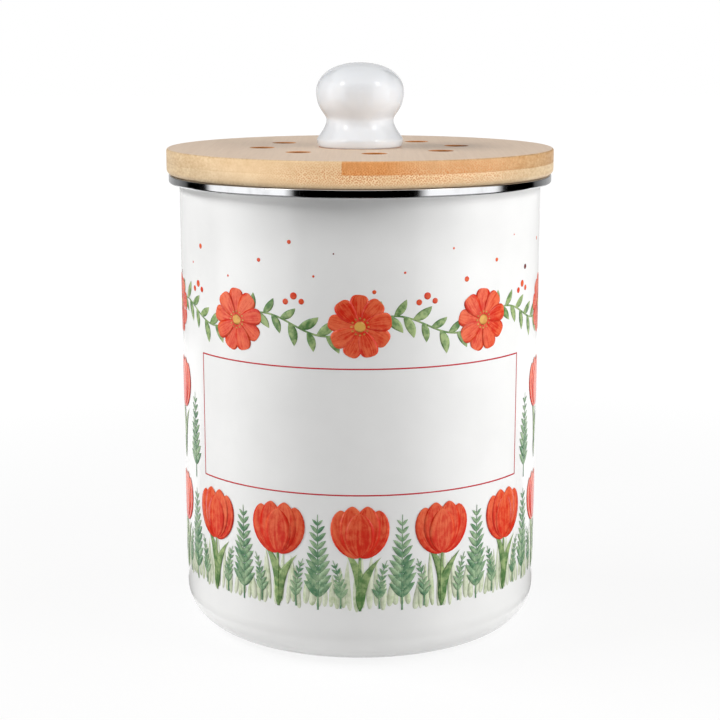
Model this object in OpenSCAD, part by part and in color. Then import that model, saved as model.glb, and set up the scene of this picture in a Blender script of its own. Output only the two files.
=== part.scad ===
// Round worktop caddy for kitchen scraps.
// An enamelled steel bin with a rolled steel rim takes a lift-off bamboo lid with vent holes and
// a ceramic knob. Under the lid, a soft seal grips the mouth and a cage holds a charcoal filter.
// Everything is turned about the Z axis. The bin stands on z = 0 and its front faces -Y.

/* [Bin] */
// Outer diameter of the wall at the mouth
body_d = 160; // [150:1:200]
// How much smaller that diameter is where the wall meets the rounded foot
body_taper = 1.3; // [0:0.1:6]
// Height from the ground to the top of the rim
bin_h = 203; // [140:1:280]
// Thickness of the enamelled sheet
wall_t = 1; // [0.8:0.1:1.4]
// Outer radius of the rounded foot
corner_r = 17.8; // [10:0.2:26]
// Height of the panel pressed up in the middle of the base
base_lift = 1.6; // [0.4:0.1:4]
// Width of the sloping step round that panel
base_step_w = 3; // [1:0.5:8]
// Width of the flat ring that the bin stands on
stand_w = 5; // [3:0.5:12]

/* [Rim] */
// How far the rim stands out past the wall
rim_out = 4.65; // [4.2:0.05:7]
// Height of the band from its top face to its rolled lower edge
rim_h = 3.6; // [3.2:0.1:5]
// Thickness of the band's steel
rim_t = 0.5; // [0.3:0.1:0.7]
// Outer radius of the band's upper edge
rim_top_r = 1.2; // [0.9:0.1:1.8]
// Outer radius of the band's rolled lower edge
rim_roll_r = 1.4; // [1.2:0.1:1.6]
// Radius inside the bend where the wall turns out into its flange
mouth_bend = 0.4; // [0.3:0.1:0.8]
// How far the band wraps round that bend into the mouth, in degrees
rim_wrap = 50; // [20:5:80]

/* [Lid board] */
// How far the board overhangs the rim
lid_overhang = 0.85; // [0:0.05:6]
// Thickness of each of the board's two plies
ply_t = 5.7; // [4:0.1:10]
// Radius of the board's upper edge
lid_top_round = 1; // [0.4:0.1:3]
// Radius of the board's lower edge
lid_under_round = 2.5; // [0.4:0.1:3.5]

/* [Vents] */
// Number of vent holes
vent_n = 8; // [4:1:12]
// Diameter of a vent hole
vent_d = 10.5; // [6:0.5:14]
// Radius of the circle that the vents lie on
vent_pitch_r = 43.5; // [34:0.5:48]
// Turn of the first vent from the front towards +X, in degrees
vent_turn = 8; // [0:1:44]
// Width of the chamfer that eases a vent's two edges
vent_edge = 0.3; // [0.1:0.1:0.8]

/* [Plug and seal] */
// Depth of the turned ring that drops into the mouth
plug_h = 9; // [8:0.5:14]
// Gap between that ring and the wall, which the seal's fins cross
plug_gap = 4.5; // [3:0.1:7]
// Width of the ring, from its outside to the pocket in its middle
plug_w = 14.5; // [12:0.5:18]
// Radius of the ring's lower edges
plug_round = 1.2; // [0.4:0.1:1.4]
// Depth of the groove that holds the seal
groove_depth = 2.5; // [1.5:0.1:3.5]
// Height of the groove
groove_h = 3.5; // [3:0.1:4.5]
// Distance from the board down to the groove
groove_drop = 2.5; // [1:0.1:4]
// Thickness of the seal outside its groove
seal_lip_t = 0.7; // [0.4:0.1:1.2]
// Number of fins on the seal
fin_n = 2; // [1:1:3]
// Thickness of a fin
fin_t = 0.8; // [0.6:0.1:1]
// Height that a fin climbs from its root to its tip
fin_rise = 1.1; // [0:0.1:2]
// Gap between a fin's tip and the wall
seal_gap = 0.3; // [0.2:0.1:0.6]

/* [Knob] */
// Height of the knob
knob_h = 36.9; // [30:0.1:60]
// Diameter of the knob's head
head_d = 38.7; // [32:0.1:60]
// Height of the head's widest place
head_z = 24.4; // [19:0.1:28]
// Diameter of the knob's neck
neck_d = 29.7; // [20:0.1:31]
// Height of the neck
neck_z = 11.8; // [8:0.1:16]
// Diameter of the knob's base
knob_base_d = 38.1; // [32:0.1:60]
// Height of the base's widest place
knob_base_z = 3.2; // [1:0.1:6]
// Diameter of the face that the knob stands on
knob_foot_d = 35.2; // [24:0.1:38]

/* [Knob fixing] */
// Diameter of the screw's shank
bolt_d = 5; // [4:0.5:6]
// Length of shank inside the knob
bolt_reach = 12; // [8:1:13]
// Diameter of the screw's head
bolt_head_d = 9.5; // [8:0.5:12]
// Height of the screw's head
bolt_head_h = 3.4; // [2.5:0.1:4.5]
// Diameter of the washer
washer_d = 16; // [13:0.5:24]
// Thickness of the washer
washer_t = 1.2; // [0.8:0.1:2]
// Diameter of the threaded insert in the knob
insert_d = 9; // [8:0.5:12]
// Length of the insert
insert_h = 14; // [13:0.5:20]
// Depth of the grooves that key the insert
insert_groove = 0.5; // [0.2:0.1:0.8]
// Clearance on the diameter of a bolt hole
bolt_play = 0.4; // [0.2:0.1:1]

/* [Filter holder] */
// Thickness of the holder's flange
flange_t = 2; // [1.5:0.1:3]
// How far the flange laps the plug's ring
flange_lap = 10; // [9:0.1:10.8]
// Height of the holder's tube inside the pocket
register_h = 3; // [1:0.5:5]
// Gap between the tube and the pocket
register_gap = 0.2; // [0.1:0.1:0.5]
// Thickness of the plastic walls
cage_t = 2; // [1.5:0.1:2.5]
// Number of holder screws
tack_n = 4; // [3:1:8]
// Diameter of a holder screw
tack_d = 3; // [2:0.5:3.5]
// Length of a holder screw under its head
tack_len = 8; // [5:0.5:10]
// Diameter of a holder screw's head
tack_head_d = 5.5; // [4.5:0.5:6]
// Height of a holder screw's head
tack_head_h = 2; // [1.5:0.1:2.5]

/* [Filter cage] */
// Thickness of the charcoal pad
pad_t = 7; // [4:0.5:12]
// Gap between the pad and the holder's tube
pad_gap = 0.4; // [0.3:0.1:1]
// Free height above the pad inside the cage
pad_room = 1; // [0.5:0.1:4]
// Gap between the cage's wall and the holder's tube
cage_gap = 0.3; // [0.2:0.1:0.6]
// Thickness of the cage's floor
floor_t = 2; // [1.5:0.1:3]
// Gap between the holder's tube and the cage's floor
tube_lift = 0.5; // [0.3:0.1:2]
// Radius of the cage's lower edge
cage_round = 1.5; // [0.5:0.1:1.8]
// Width of a slot in the grille
slot_w = 4; // [2:0.5:6]
// Width of plastic between two rings of slots
slot_rib = 4.5; // [2:0.5:8]
// Radius of the disc in the middle of the grille
hub_r = 8; // [4:0.5:14]
// Number of spokes across the grille
spoke_n = 6; // [4:2:10]
// Width of a spoke
spoke_w = 5; // [3:0.5:8]
// Number of pull tabs
tab_n = 3; // [2:1:4]
// Diameter of a pull tab's round end
tab_d = 16; // [10:0.5:20]
// How far a tab stands out past the cage's wall
tab_out = 6; // [3:0.5:6.5]

/* [Hidden] */
$fn = 96;
arc_step = 5;                                  // degrees between two points of an arc
curve_n = 16;                                  // steps along one curve of the knob
cut = 1;                                       // how far a cutter runs past a face

// bin and rim
body_r = body_d / 2;
mouth_r = body_r - wall_t;                     // inside of the wall
wall_foot_r = body_r - body_taper / 2;
foot_r = wall_foot_r - corner_r;               // where the rounded foot meets the base
recess_r = foot_r - stand_w;
flange_z = bin_h - rim_t;
bend_r = mouth_bend + wall_t;
bend_c = [body_r + mouth_bend, flange_z - bend_r];
rim_r = body_r + rim_out;
flange_r = rim_r - rim_t;
flange_edge_r = rim_top_r - rim_t;
flange_edge_c = [flange_r - flange_edge_r, flange_z - flange_edge_r];
roll_c = [rim_r - rim_roll_r, bin_h - rim_h + rim_roll_r];

// lid
lid_r = rim_r + lid_overhang;
glue_z = bin_h + ply_t;
lid_top_z = glue_z + ply_t;
plug_r = mouth_r - plug_gap;
plug_z = bin_h - plug_h;
pocket_r = plug_r - plug_w;
groove_top_z = bin_h - groove_drop;
groove_r = plug_r - groove_depth;
fin_tip_r = mouth_r - seal_gap;
fin_pitch = groove_h / fin_n;

// knob curves: how far each handle reaches, as a share of its curve's rise or width
foot_pull = [0.6, 0.5];
flare_pull = [0.15, 0.4];
throat_pull = [0.24, 0.675];
crown_pull = [0.58, 0.6];
insert_groove_n = 3;
glue_room = 1;                                 // depth of the knob's bore past its insert

// screw heads: a straight side, a domed end and a cross recess, as shares of height or diameter
head_n = 6;
head_side = 0.35;
head_pull = 0.3;
recess_len = 0.55;
recess_w = 0.13;
recess_deep = 0.5;

// filter
tube_r = pocket_r - register_gap;
tube_in_r = tube_r - cage_t;
flange_under_z = plug_z - flange_t;
holder_r = pocket_r + flange_lap;
cage_in_r = tube_r + cage_gap;
cage_r = cage_in_r + cage_t;
floor_top_z = flange_under_z - pad_t - pad_room;
cage_z = floor_top_z - floor_t;
pad_r = tube_in_r - pad_gap;
pad_round = min(pad_t / 4, 1.5);
tack_pitch_r = (cage_r + holder_r) / 2;
slot_pitch = slot_w + slot_rib;
slot_rings = floor((pad_r - hub_r) / slot_pitch);

// points round an arc about c, from angle a0 to angle a1
function arc(c, r, a0, a1) =
    let (n = max(1, round(abs(a1 - a0) / arc_step)))
    [for (i = [0:n]) let (a = a0 + (a1 - a0) * i / n) c + r * [cos(a), sin(a)]];

// points along a cubic curve from a to d with handles at b and c
function curve(a, b, c, d, n = curve_n) =
    [for (i = [0:n]) let (t = i / n, s = 1 - t)
        s*s*s * a + 3*s*s*t * b + 3*s*t*t * c + t*t*t * d];

// a solid turned about the Z axis from points given as [radius, height]
module turned(points) {
    rotate_extrude() polygon(points);
}

// copies set evenly round the Z axis, the first at angle start
module ring_of(n, radius, start = 0) {
    for (i = [0:n - 1]) rotate(start + i * 360 / n) translate([radius, 0, 0]) children();
}

// a domed screw head that hangs under z = 0, with a cross recess in its lower side
module pan_head(d, h) {
    rim = [d / 2, -h * head_side];
    crown = [0, -h];
    difference() {
        turned(concat([[0, 0]],
            curve(crown, crown + [d * head_pull, 0], rim - [0, (h + rim.y) * head_pull], rim, head_n),
            [[d / 2, 0]]));
        for (a = [0, 90]) rotate(a)
            translate([-d * recess_len / 2, -d * recess_w / 2, -h - cut])
            cube([d * recess_len, d * recess_w, h * recess_deep + cut]);
    }
}

// Drawn steel pot: recessed base, rounded foot, tapering wall and a flange turned out at the mouth
module body_shell() {
    color([0.96, 0.96, 0.95]) turned(concat(
        [[0, base_lift], [recess_r - base_step_w, base_lift], [recess_r, 0]],
        arc([foot_r, corner_r], corner_r, -90, 0),
        arc(bend_c, mouth_bend, 180, 90),
        [[flange_r, flange_z - wall_t]],
        arc(flange_edge_c, flange_edge_r, 0, 90),
        arc(bend_c, bend_r, 90, 180),
        arc([foot_r, corner_r], corner_r - wall_t, 0, -90),
        [[recess_r, wall_t], [recess_r - base_step_w, base_lift + wall_t], [0, base_lift + wall_t]]));
}

// Thin band rolled over the flange: round the bend, across the top, down and under, back up to it
module rim_band() {
    color([0.72, 0.73, 0.75]) turned(concat(
        arc(bend_c, bend_r + rim_t, 90 + rim_wrap, 90),
        arc([rim_r - rim_top_r, bin_h - rim_top_r], rim_top_r, 90, 0),
        arc(roll_c, rim_roll_r, 0, -180),
        [[roll_c.x - rim_roll_r, flange_z - wall_t], [roll_c.x - rim_roll_r + rim_t, flange_z - wall_t]],
        arc(roll_c, rim_roll_r - rim_t, -180, 0),
        arc(flange_edge_c, flange_edge_r, 0, 90),
        arc(bend_c, bend_r, 90, 90 + rim_wrap)));
}

// cutter for one vent, from the board's underside at z = 0 up, opening out at both faces
module vent() {
    translate([0, 0, -cut]) cylinder(d = vent_d, h = 2 * (ply_t + cut));
    translate([0, 0, -cut])
        cylinder(d1 = vent_d + 2 * (vent_edge + cut), d2 = vent_d, h = vent_edge + cut);
    translate([0, 0, 2 * ply_t - vent_edge])
        cylinder(d1 = vent_d, d2 = vent_d + 2 * (vent_edge + cut), h = vent_edge + cut);
}

// cutters for the vents and the knob's screw, through whatever ply they are taken from
module lid_holes() {
    translate([0, 0, bin_h]) {
        ring_of(vent_n, vent_pitch_r, vent_turn - 90) vent();
        translate([0, 0, -cut]) cylinder(d = bolt_d + bolt_play, h = 2 * (ply_t + cut));
    }
}

module lid_upper_ply() {
    color([0.86, 0.70, 0.50]) difference() {
        turned(concat([[0, glue_z], [lid_r, glue_z]],
            arc([lid_r - lid_top_round, lid_top_z - lid_top_round], lid_top_round, 0, 90),
            [[0, lid_top_z]]));
        lid_holes();
    }
}

module lid_lower_ply() {
    color([0.90, 0.77, 0.58]) difference() {
        turned(concat([[0, bin_h]],
            arc([lid_r - lid_under_round, bin_h + lid_under_round], lid_under_round, -90, 0),
            [[lid_r, glue_z], [0, glue_z]]));
        lid_holes();
    }
}

// Turned ring under the board, with a groove for the seal and pilot holes for the holder's screws
module lid_plug() {
    color([0.84, 0.69, 0.50]) difference() {
        turned(concat(
            arc([pocket_r + plug_round, plug_z + plug_round], plug_round, 180, 270),
            arc([plug_r - plug_round, plug_z + plug_round], plug_round, -90, 0),
            [[plug_r, groove_top_z - groove_h], [groove_r, groove_top_z - groove_h],
             [groove_r, groove_top_z], [plug_r, groove_top_z],
             [plug_r, bin_h], [pocket_r, bin_h]]));
        translate([0, 0, plug_z - cut])
            ring_of(tack_n, tack_pitch_r) cylinder(d = tack_d, h = tack_len - flange_t + cut);
    }
}

// Soft ring: a back that fills the groove, a lip outside it, and fins bent up along the wall
module lid_seal() {
    root_r = plug_r + seal_lip_t / 2;
    color([0.86, 0.86, 0.84]) rotate_extrude() {
        translate([groove_r, groove_top_z - groove_h])
            square([groove_depth + seal_lip_t, groove_h]);
        for (i = [0:fin_n - 1])
            let (z = groove_top_z - groove_h + (i + 0.5) * fin_pitch - fin_t / 2)
            polygon([[root_r, z], [fin_tip_r, z + fin_rise],
                     [fin_tip_r, z + fin_rise + fin_t * 0.7], [root_r, z + fin_t]]);
    }
}

// Glazed knob: soft foot, flared base, waisted neck and a full, slightly flattened head
module knob() {
    foot = [knob_foot_d / 2, 0];
    base = [knob_base_d / 2, knob_base_z];
    neck = [neck_d / 2, neck_z];
    head = [head_d / 2, head_z];
    top = [0, knob_h];
    flare_h = neck_z - knob_base_z;
    throat_h = head_z - neck_z;
    crown_h = knob_h - head_z;
    color([0.94, 0.94, 0.94]) translate([0, 0, lid_top_z]) difference() {
        turned(concat([[0, 0]],
            curve(foot, foot + [foot_pull[0] * (base.x - foot.x), 0],
                  base - [0, foot_pull[1] * knob_base_z], base),
            curve(base, base + [0, flare_pull[0] * flare_h],
                  neck - [0, flare_pull[1] * flare_h], neck),
            curve(neck, neck + [0, throat_pull[0] * throat_h],
                  head - [0, throat_pull[1] * throat_h], head),
            curve(head, head + [0, crown_pull[0] * crown_h],
                  top + [crown_pull[1] * head.x, 0], top)));
        translate([0, 0, -cut]) cylinder(d = insert_d, h = insert_h + glue_room + cut);
    }
}

// Threaded bush glued into the knob, with grooves that the glue keys into
module knob_insert() {
    color([0.80, 0.66, 0.36]) translate([0, 0, lid_top_z]) difference() {
        cylinder(d = insert_d, h = insert_h);
        translate([0, 0, -cut]) cylinder(d = bolt_d, h = insert_h + 2 * cut);
        for (i = [1:insert_groove_n])
            translate([0, 0, i * insert_h / (insert_groove_n + 1) - insert_groove])
            difference() {
                cylinder(d = insert_d + cut, h = 2 * insert_groove);
                translate([0, 0, -cut])
                    cylinder(d = insert_d - 2 * insert_groove, h = 2 * (insert_groove + cut));
            }
    }
}

module knob_screw() {
    color([0.70, 0.71, 0.73]) translate([0, 0, bin_h - washer_t]) {
        pan_head(bolt_head_d, bolt_head_h);
        cylinder(d = bolt_d, h = washer_t + 2 * ply_t + bolt_reach);
    }
}

module knob_washer() {
    color([0.76, 0.77, 0.79]) translate([0, 0, bin_h - washer_t]) difference() {
        cylinder(d = washer_d, h = washer_t);
        translate([0, 0, -cut]) cylinder(d = bolt_d + bolt_play, h = washer_t + 2 * cut);
    }
}

// Tube that centres in the pocket and hangs below it, with a flange screwed to the plug
module filter_holder() {
    tube_z = floor_top_z + tube_lift;
    color([0.90, 0.90, 0.88]) difference() {
        union() {
            translate([0, 0, tube_z]) cylinder(r = tube_r, h = plug_z + register_h - tube_z);
            translate([0, 0, flange_under_z]) cylinder(r = holder_r, h = flange_t);
        }
        translate([0, 0, tube_z - cut])
            cylinder(r = tube_in_r, h = plug_z + register_h - tube_z + 2 * cut);
        translate([0, 0, flange_under_z - cut])
            ring_of(tack_n, tack_pitch_r) cylinder(d = tack_d, h = flange_t + 2 * cut);
    }
}

module filter_holder_screws() {
    color([0.70, 0.71, 0.73]) translate([0, 0, flange_under_z])
        ring_of(tack_n, tack_pitch_r) {
            pan_head(tack_head_d, tack_head_h);
            cylinder(d = tack_d, h = tack_len);
        }
}

// cutter for the grille: rings of slots, with spokes left standing across them
module grille_slots() {
    translate([0, 0, cage_z - cut]) difference() {
        for (i = [0:slot_rings - 1]) let (r = hub_r + i * slot_pitch)
            difference() {
                cylinder(r = r + slot_w, h = floor_t + 2 * cut);
                translate([0, 0, -cut]) cylinder(r = r, h = floor_t + 4 * cut);
            }
        for (a = [0:360 / spoke_n:179]) rotate(a) translate([-cage_r, -spoke_w / 2, -cut])
            cube([2 * cage_r, spoke_w, floor_t + 4 * cut]);
    }
}

// Push-on cup over the holder's tube: slotted floor, rounded lower edge and pull tabs
module filter_cover() {
    color([0.88, 0.88, 0.86]) difference() {
        union() {
            turned(concat([[0, cage_z]],
                arc([cage_r - cage_round, cage_z + cage_round], cage_round, -90, 0),
                [[cage_r, flange_under_z], [0, flange_under_z]]));
            translate([0, 0, cage_z]) ring_of(tab_n, cage_r + tab_out - tab_d / 2, 90)
                cylinder(d = tab_d, h = floor_t);
        }
        translate([0, 0, floor_top_z])
            cylinder(r = cage_in_r, h = flange_under_z - floor_top_z + cut);
        grille_slots();
    }
}

module filter_pad() {
    color([0.16, 0.16, 0.17]) turned(concat([[0, floor_top_z]],
        arc([pad_r - pad_round, floor_top_z + pad_round], pad_round, -90, 0),
        arc([pad_r - pad_round, floor_top_z + pad_t - pad_round], pad_round, 0, 90),
        [[0, floor_top_z + pad_t]]));
}

body_shell();
rim_band();
lid_upper_ply();
lid_lower_ply();
lid_plug();
lid_seal();
knob();
knob_insert();
knob_screw();
knob_washer();
filter_holder();
filter_holder_screws();
filter_cover();
filter_pad();
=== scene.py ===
import math
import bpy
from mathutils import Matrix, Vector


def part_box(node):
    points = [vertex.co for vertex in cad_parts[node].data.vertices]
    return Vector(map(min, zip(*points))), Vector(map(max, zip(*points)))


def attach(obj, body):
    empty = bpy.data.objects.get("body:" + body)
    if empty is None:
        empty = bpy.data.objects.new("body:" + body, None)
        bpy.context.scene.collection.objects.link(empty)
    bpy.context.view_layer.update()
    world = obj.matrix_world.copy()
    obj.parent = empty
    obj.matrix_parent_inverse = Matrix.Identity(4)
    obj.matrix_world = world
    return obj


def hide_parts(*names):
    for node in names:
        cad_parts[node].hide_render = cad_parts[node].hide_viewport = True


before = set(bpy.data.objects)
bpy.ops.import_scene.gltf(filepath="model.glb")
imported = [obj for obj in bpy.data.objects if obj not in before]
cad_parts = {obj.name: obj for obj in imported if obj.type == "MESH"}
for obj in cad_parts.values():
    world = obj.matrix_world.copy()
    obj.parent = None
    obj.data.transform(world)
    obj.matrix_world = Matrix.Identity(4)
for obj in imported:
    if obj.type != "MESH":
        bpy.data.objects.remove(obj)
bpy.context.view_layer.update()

from types import SimpleNamespace

import bpy
import numpy as np
from bpy.props import FloatProperty, FloatVectorProperty, IntProperty, PointerProperty
from bpy.types import Operator, Panel, PropertyGroup
from mathutils import Vector

bl_info = {
    "name": "Kitchen Scraps Caddy",
    "version": (1, 0, 0),
    "blender": (4, 5, 0),
    "location": "3D View > Sidebar > Caddy",
    "description": "Dresses an enamelled scraps caddy: steel rim, bamboo lid, glazed knob, printed border",
    "category": "Object",
}

MM = 0.001
SEED = 11

# Heights and radii that the frame gives.
rim_low, rim_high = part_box("rim_band")
RIM_TOP = rim_high.z
RIM_UNDER = rim_low.z
RIM_R = rim_high.x
FLANGE_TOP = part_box("body_shell")[1].z
GLUE_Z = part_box("lid_upper_ply")[0].z
BOARD_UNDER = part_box("lid_lower_ply")[0].z
KNOB_FOOT_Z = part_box("knob")[0].z
KNOB_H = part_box("knob")[1].z - KNOB_FOOT_Z
HEAD_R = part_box("knob")[1].x
SEAL_LOW, SEAL_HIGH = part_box("lid_seal")
PAD_LOW, PAD_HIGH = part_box("filter_pad")
PLUG_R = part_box("lid_plug")[1].x


def srgb(red, green, blue):
    """The linear colour of three display values from 0 to 255."""
    shares = [value / 255 for value in (red, green, blue)]
    return tuple(s / 12.92 if s <= 0.04045 else ((s + 0.055) / 1.055) ** 2.4 for s in shares)


def length(label, about, millimetres):
    """A length property with its default in millimetres."""
    return FloatProperty(
        name=label, description=about, default=millimetres * MM, min=0, subtype="DISTANCE", unit="LENGTH"
    )


def colour(label, about, *display):
    """A colour property with its default as display values."""
    return FloatVectorProperty(
        name=label, description=about, default=srgb(*display), min=0, max=1, size=3, subtype="COLOR"
    )


class CaddySizes(PropertyGroup):
    """Sizes of the bin, the rim, the knob and the printed border."""

    wall_r: length("Wall radius", "Outside of the wall at the mouth", 80)
    wall_foot_r: length("Wall radius at the foot", "Outside of the wall where the foot starts", 79.35)
    sheet: length("Sheet", "Thickness of the enamelled sheet", 1)
    corner_r: length("Foot radius", "Outer radius of the rounded foot", 17.8)
    base_lift: length("Base lift", "How far the base panel is pressed up", 1.6)
    base_step: length("Base step", "Width of the slope round the base panel", 3)
    stand_w: length("Standing ring", "Width of the flat ring that the bin stands on", 5)
    mouth_bend: length("Mouth bend", "Inner radius where the wall turns into the flange", 0.4)
    rim_t: length("Band thickness", "Thickness of the rim's steel", 0.5)
    rim_top_r: length("Band top radius", "Outer radius of the band's upper edge", 0.6)
    rim_roll_r: length("Band roll radius", "Outer radius of the band's rolled edge", 0.9)
    rim_lap: length("Band lap", "Width of the part that is rolled under the flange", 2.8)
    knob_foot_r: length("Knob foot", "Radius of the face that the knob stands on", 17.6)
    knob_base_r: length("Knob base", "Largest radius of the knob's base", 19.05)
    knob_base_z: length("Knob base height", "Height of the base's widest place", 3.2)
    knob_neck_r: length("Knob neck", "Radius of the knob's neck", 14.85)
    knob_neck_z: length("Knob neck height", "Height of the neck", 11.8)
    knob_head_z: length("Knob head height", "Height of the head's widest place", 24.4)
    knob_bore_r: length("Knob bore", "Radius of the bore for the insert", 4.5)
    knob_bore_h: length("Knob bore depth", "Depth of that bore", 15)
    panel_w: length("Label panel width", "Length of the panel's frame round the wall", 160)
    panel_low: length("Label panel foot", "Height of the frame's lower line", 76.1)
    panel_high: length("Label panel top", "Height of the frame's upper line", 129.4)
    panel_line: length("Label line", "Width of the frame's line", 0.62)
    border_low: length("Border foot", "Height where the lower border starts", 26)
    border_top: length("Border top", "Height that the lower border's flowers reach", 71.5)
    garland_z: length("Garland height", "Height of the upper garland's middle", 147)
    border_units: IntProperty(
        name="Border units", description="Tulips round the lower border", default=14, min=4, max=30
    )
    garland_units: IntProperty(
        name="Garland units", description="Blossoms round the upper garland", default=9, min=3, max=20
    )


class CaddyColours(PropertyGroup):
    """Colours of the finishes and of the print."""

    enamel: colour("Enamel", "White enamel", 240, 240, 239)
    steel: colour("Steel", "Polished rim", 226, 227, 229)
    bamboo_long: colour("Bamboo, long grain", "Sides of the board", 208, 182, 145)
    bamboo_end: colour("Bamboo, end grain", "Front and back of the board's edge", 219, 189, 149)
    bamboo_face: colour("Bamboo, face", "Top and underside of the board", 219, 192, 165)
    bamboo_dark: colour("Bamboo, dark strip", "The darker strip in the upper ply", 207, 147, 92)
    # Painted shade: the drilled vents' walls take this darker orange in place of the edge's own colour.
    bamboo_bore: colour("Bamboo, bores", "Walls of the drilled holes", 206, 132, 62)
    bamboo_bundle: colour("Bamboo, fibres", "Dots and streaks of the fibre bundles", 182, 102, 38)
    glaze: colour("Glaze", "White glaze of the knob", 217, 219, 222)
    silicone: colour("Silicone", "Seal round the plug", 222, 222, 218)
    plastic: colour("Plastic", "Filter cage", 226, 226, 221)
    charcoal: colour("Charcoal", "Filter pad", 46, 46, 49)
    line: colour("Label line", "Frame of the label panel", 197, 50, 58)
    petal_pale: colour("Petal, pale", "Light petals", 236, 110, 70)
    petal_deep: colour("Petal, deep", "Dark petals", 212, 36, 12)
    heart: colour("Blossom heart", "Heart of a blossom", 226, 172, 84)
    leaf_pale: colour("Leaf, pale", "Light leaves", 166, 186, 128)
    leaf_deep: colour("Leaf, deep", "Dark leaves", 78, 120, 66)
    fern_pale: colour("Fern, pale", "Light fronds", 158, 184, 146)
    fern_deep: colour("Fern, deep", "Dark fronds", 88, 132, 98)
    wash_pale: colour("Wash, pale", "Lightest background leaves", 216, 222, 198)
    wash_deep: colour("Wash, deep", "Darker background leaves", 172, 190, 144)
    dot_warm: colour("Dots, warm", "Orange dots", 232, 110, 62)
    dot_dark: colour("Dots, dark", "Dark red dots", 120, 34, 34)


# ---------------------------------------------------------------- meshes


def line(start, end, step):
    """Points on the straight line from start to end, no more than step apart."""
    count = max(1, math.ceil(math.dist(start, end) / step))
    return np.linspace(start, end, count + 1)


def arc(centre, radius, start, end, step=3):
    """Points centre + radius (cos a, sin a), with a from start to end in degrees."""
    count = max(2, math.ceil(abs(end - start) / step))
    angle = np.radians(np.linspace(start, end, count + 1))
    return np.column_stack((centre[0] + radius * np.cos(angle), centre[1] + radius * np.sin(angle)))


def bezier(a, b, c, d, count=40):
    """Points (1-t)^3 a + 3 (1-t)^2 t b + 3 (1-t) t^2 c + t^3 d, with t from 0 to 1."""
    t = np.linspace(0, 1, count + 1)[:, None]
    a, b, c, d = (np.array(point, float) for point in (a, b, c, d))
    return (1 - t) ** 3 * a + 3 * (1 - t) ** 2 * t * b + 3 * (1 - t) * t**2 * c + t**3 * d


def joined(*runs):
    """The runs end to end as one outline, without points that repeat."""
    points = np.vstack(runs)
    apart = np.linalg.norm(np.diff(points, axis=0), axis=1) > 1e-3 * MM
    return points[np.concatenate(([True], apart))]


def new_mesh(name, points, quads, triangles=()):
    """A mesh of these vertices, four-sided faces and three-sided faces, shaded smooth."""
    quads = np.asarray(quads, np.int32).reshape(-1, 4)
    triangles = np.asarray(triangles, np.int32).reshape(-1, 3)
    mesh = bpy.data.meshes.new(name)
    mesh.vertices.add(len(points))
    mesh.vertices.foreach_set("co", np.asarray(points, np.float32).ravel())
    mesh.loops.add(quads.size + triangles.size)
    mesh.loops.foreach_set("vertex_index", np.concatenate((quads.ravel(), triangles.ravel())))
    mesh.polygons.add(len(quads) + len(triangles))
    starts = (np.arange(len(quads)) * 4, quads.size + np.arange(len(triangles)) * 3)
    mesh.polygons.foreach_set("loop_start", np.concatenate(starts).astype(np.int32))
    mesh.update(calc_edges=True)
    mesh.shade_smooth()
    return mesh


def new_piece(mesh, material, body, slot, *nodes):
    """The mesh as a piece with this material, which rides on a body and stands for nodes, whose meshes it
    hides. slot is not used.
    """
    mesh.materials.append(material)
    piece = bpy.data.objects.new(mesh.name, mesh)
    bpy.context.scene.collection.objects.link(piece)
    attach(piece, body)
    if nodes:
        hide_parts(*nodes)
    return piece


def polar(radius, angle, height):
    """Points (r sin a, -r cos a, z): the angle goes round the Z axis from the front towards +X."""
    return np.stack(np.broadcast_arrays(radius * np.sin(angle), -radius * np.cos(angle), height), axis=-1)


def facing_out(points, quads, triangles):
    """The faces turned so that the volume under them, the sum of p0 . (p1 x p2) / 6, is positive."""
    fans = np.vstack((quads[:, [0, 1, 2]], quads[:, [0, 2, 3]], triangles))
    p0, p1, p2 = (points[fans[:, k]] for k in range(3))
    if np.einsum("ij,ij->i", p0, np.cross(p1, p2)).sum() < 0:
        return quads[:, ::-1], triangles[:, ::-1]
    return quads, triangles


def turned(name, outline, steps=288, ripple=None):
    """A solid of revolution. Point (r, z) of the outline goes to (r sin a, -r cos a, z) at each angle a.
    An outline whose ends lie on the axis gets one vertex at each; any other is closed into a ring.
    ripple(x, y, z) gives what is added to each height."""
    capped = outline[0, 0] < 1e-9 and outline[-1, 0] < 1e-9
    rings = outline[1:-1] if capped else outline
    points = polar(rings[:, :1], np.arange(steps) * 2 * math.pi / steps, rings[:, 1:])
    if ripple is not None:
        points[..., 2] += ripple(*np.moveaxis(points, -1, 0))
    count = len(rings)
    across = np.arange(count - 1 if capped else count)[:, None]
    around = np.arange(steps)[None, :]
    here, above = across * steps, (across + 1) % count * steps
    beside = (around + 1) % steps
    quads = np.stack((here + around, here + beside, above + beside, above + around), axis=-1).reshape(-1, 4)
    points = points.reshape(-1, 3)
    triangles = np.zeros((0, 3), int)
    if capped:
        ends = [[0, 0, outline[0, 1]], [0, 0, outline[-1, 1]]]
        first, last = len(points), len(points) + 1
        points = np.vstack((points, ends))
        ring = np.arange(steps)
        after = (ring + 1) % steps
        top = (count - 1) * steps
        low_fan = np.column_stack((np.full(steps, first), after, ring))
        high_fan = np.column_stack((np.full(steps, last), top + ring, top + after))
        triangles = np.vstack((low_fan, high_fan))
    quads, triangles = facing_out(points, quads, triangles)
    return new_mesh(name, points, quads, triangles)


def mouth_centre(sizes):
    """Centre (r, z) of the bend between the wall and the flange."""
    return sizes.wall_r + sizes.mouth_bend, FLANGE_TOP - sizes.mouth_bend - sizes.sheet


def wall_radius(sizes, height):
    """Outside radius of the wall: a straight line from the foot's top to the bend at the mouth."""
    low, high = sizes.corner_r, mouth_centre(sizes)[1]
    share = (height - low) / (high - low)
    return sizes.wall_foot_r + (sizes.wall_r - sizes.wall_foot_r) * share


# ---------------------------------------------------------------- print on the wall

# The least half width of a stroke.
THIN = 0.02 * MM


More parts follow.
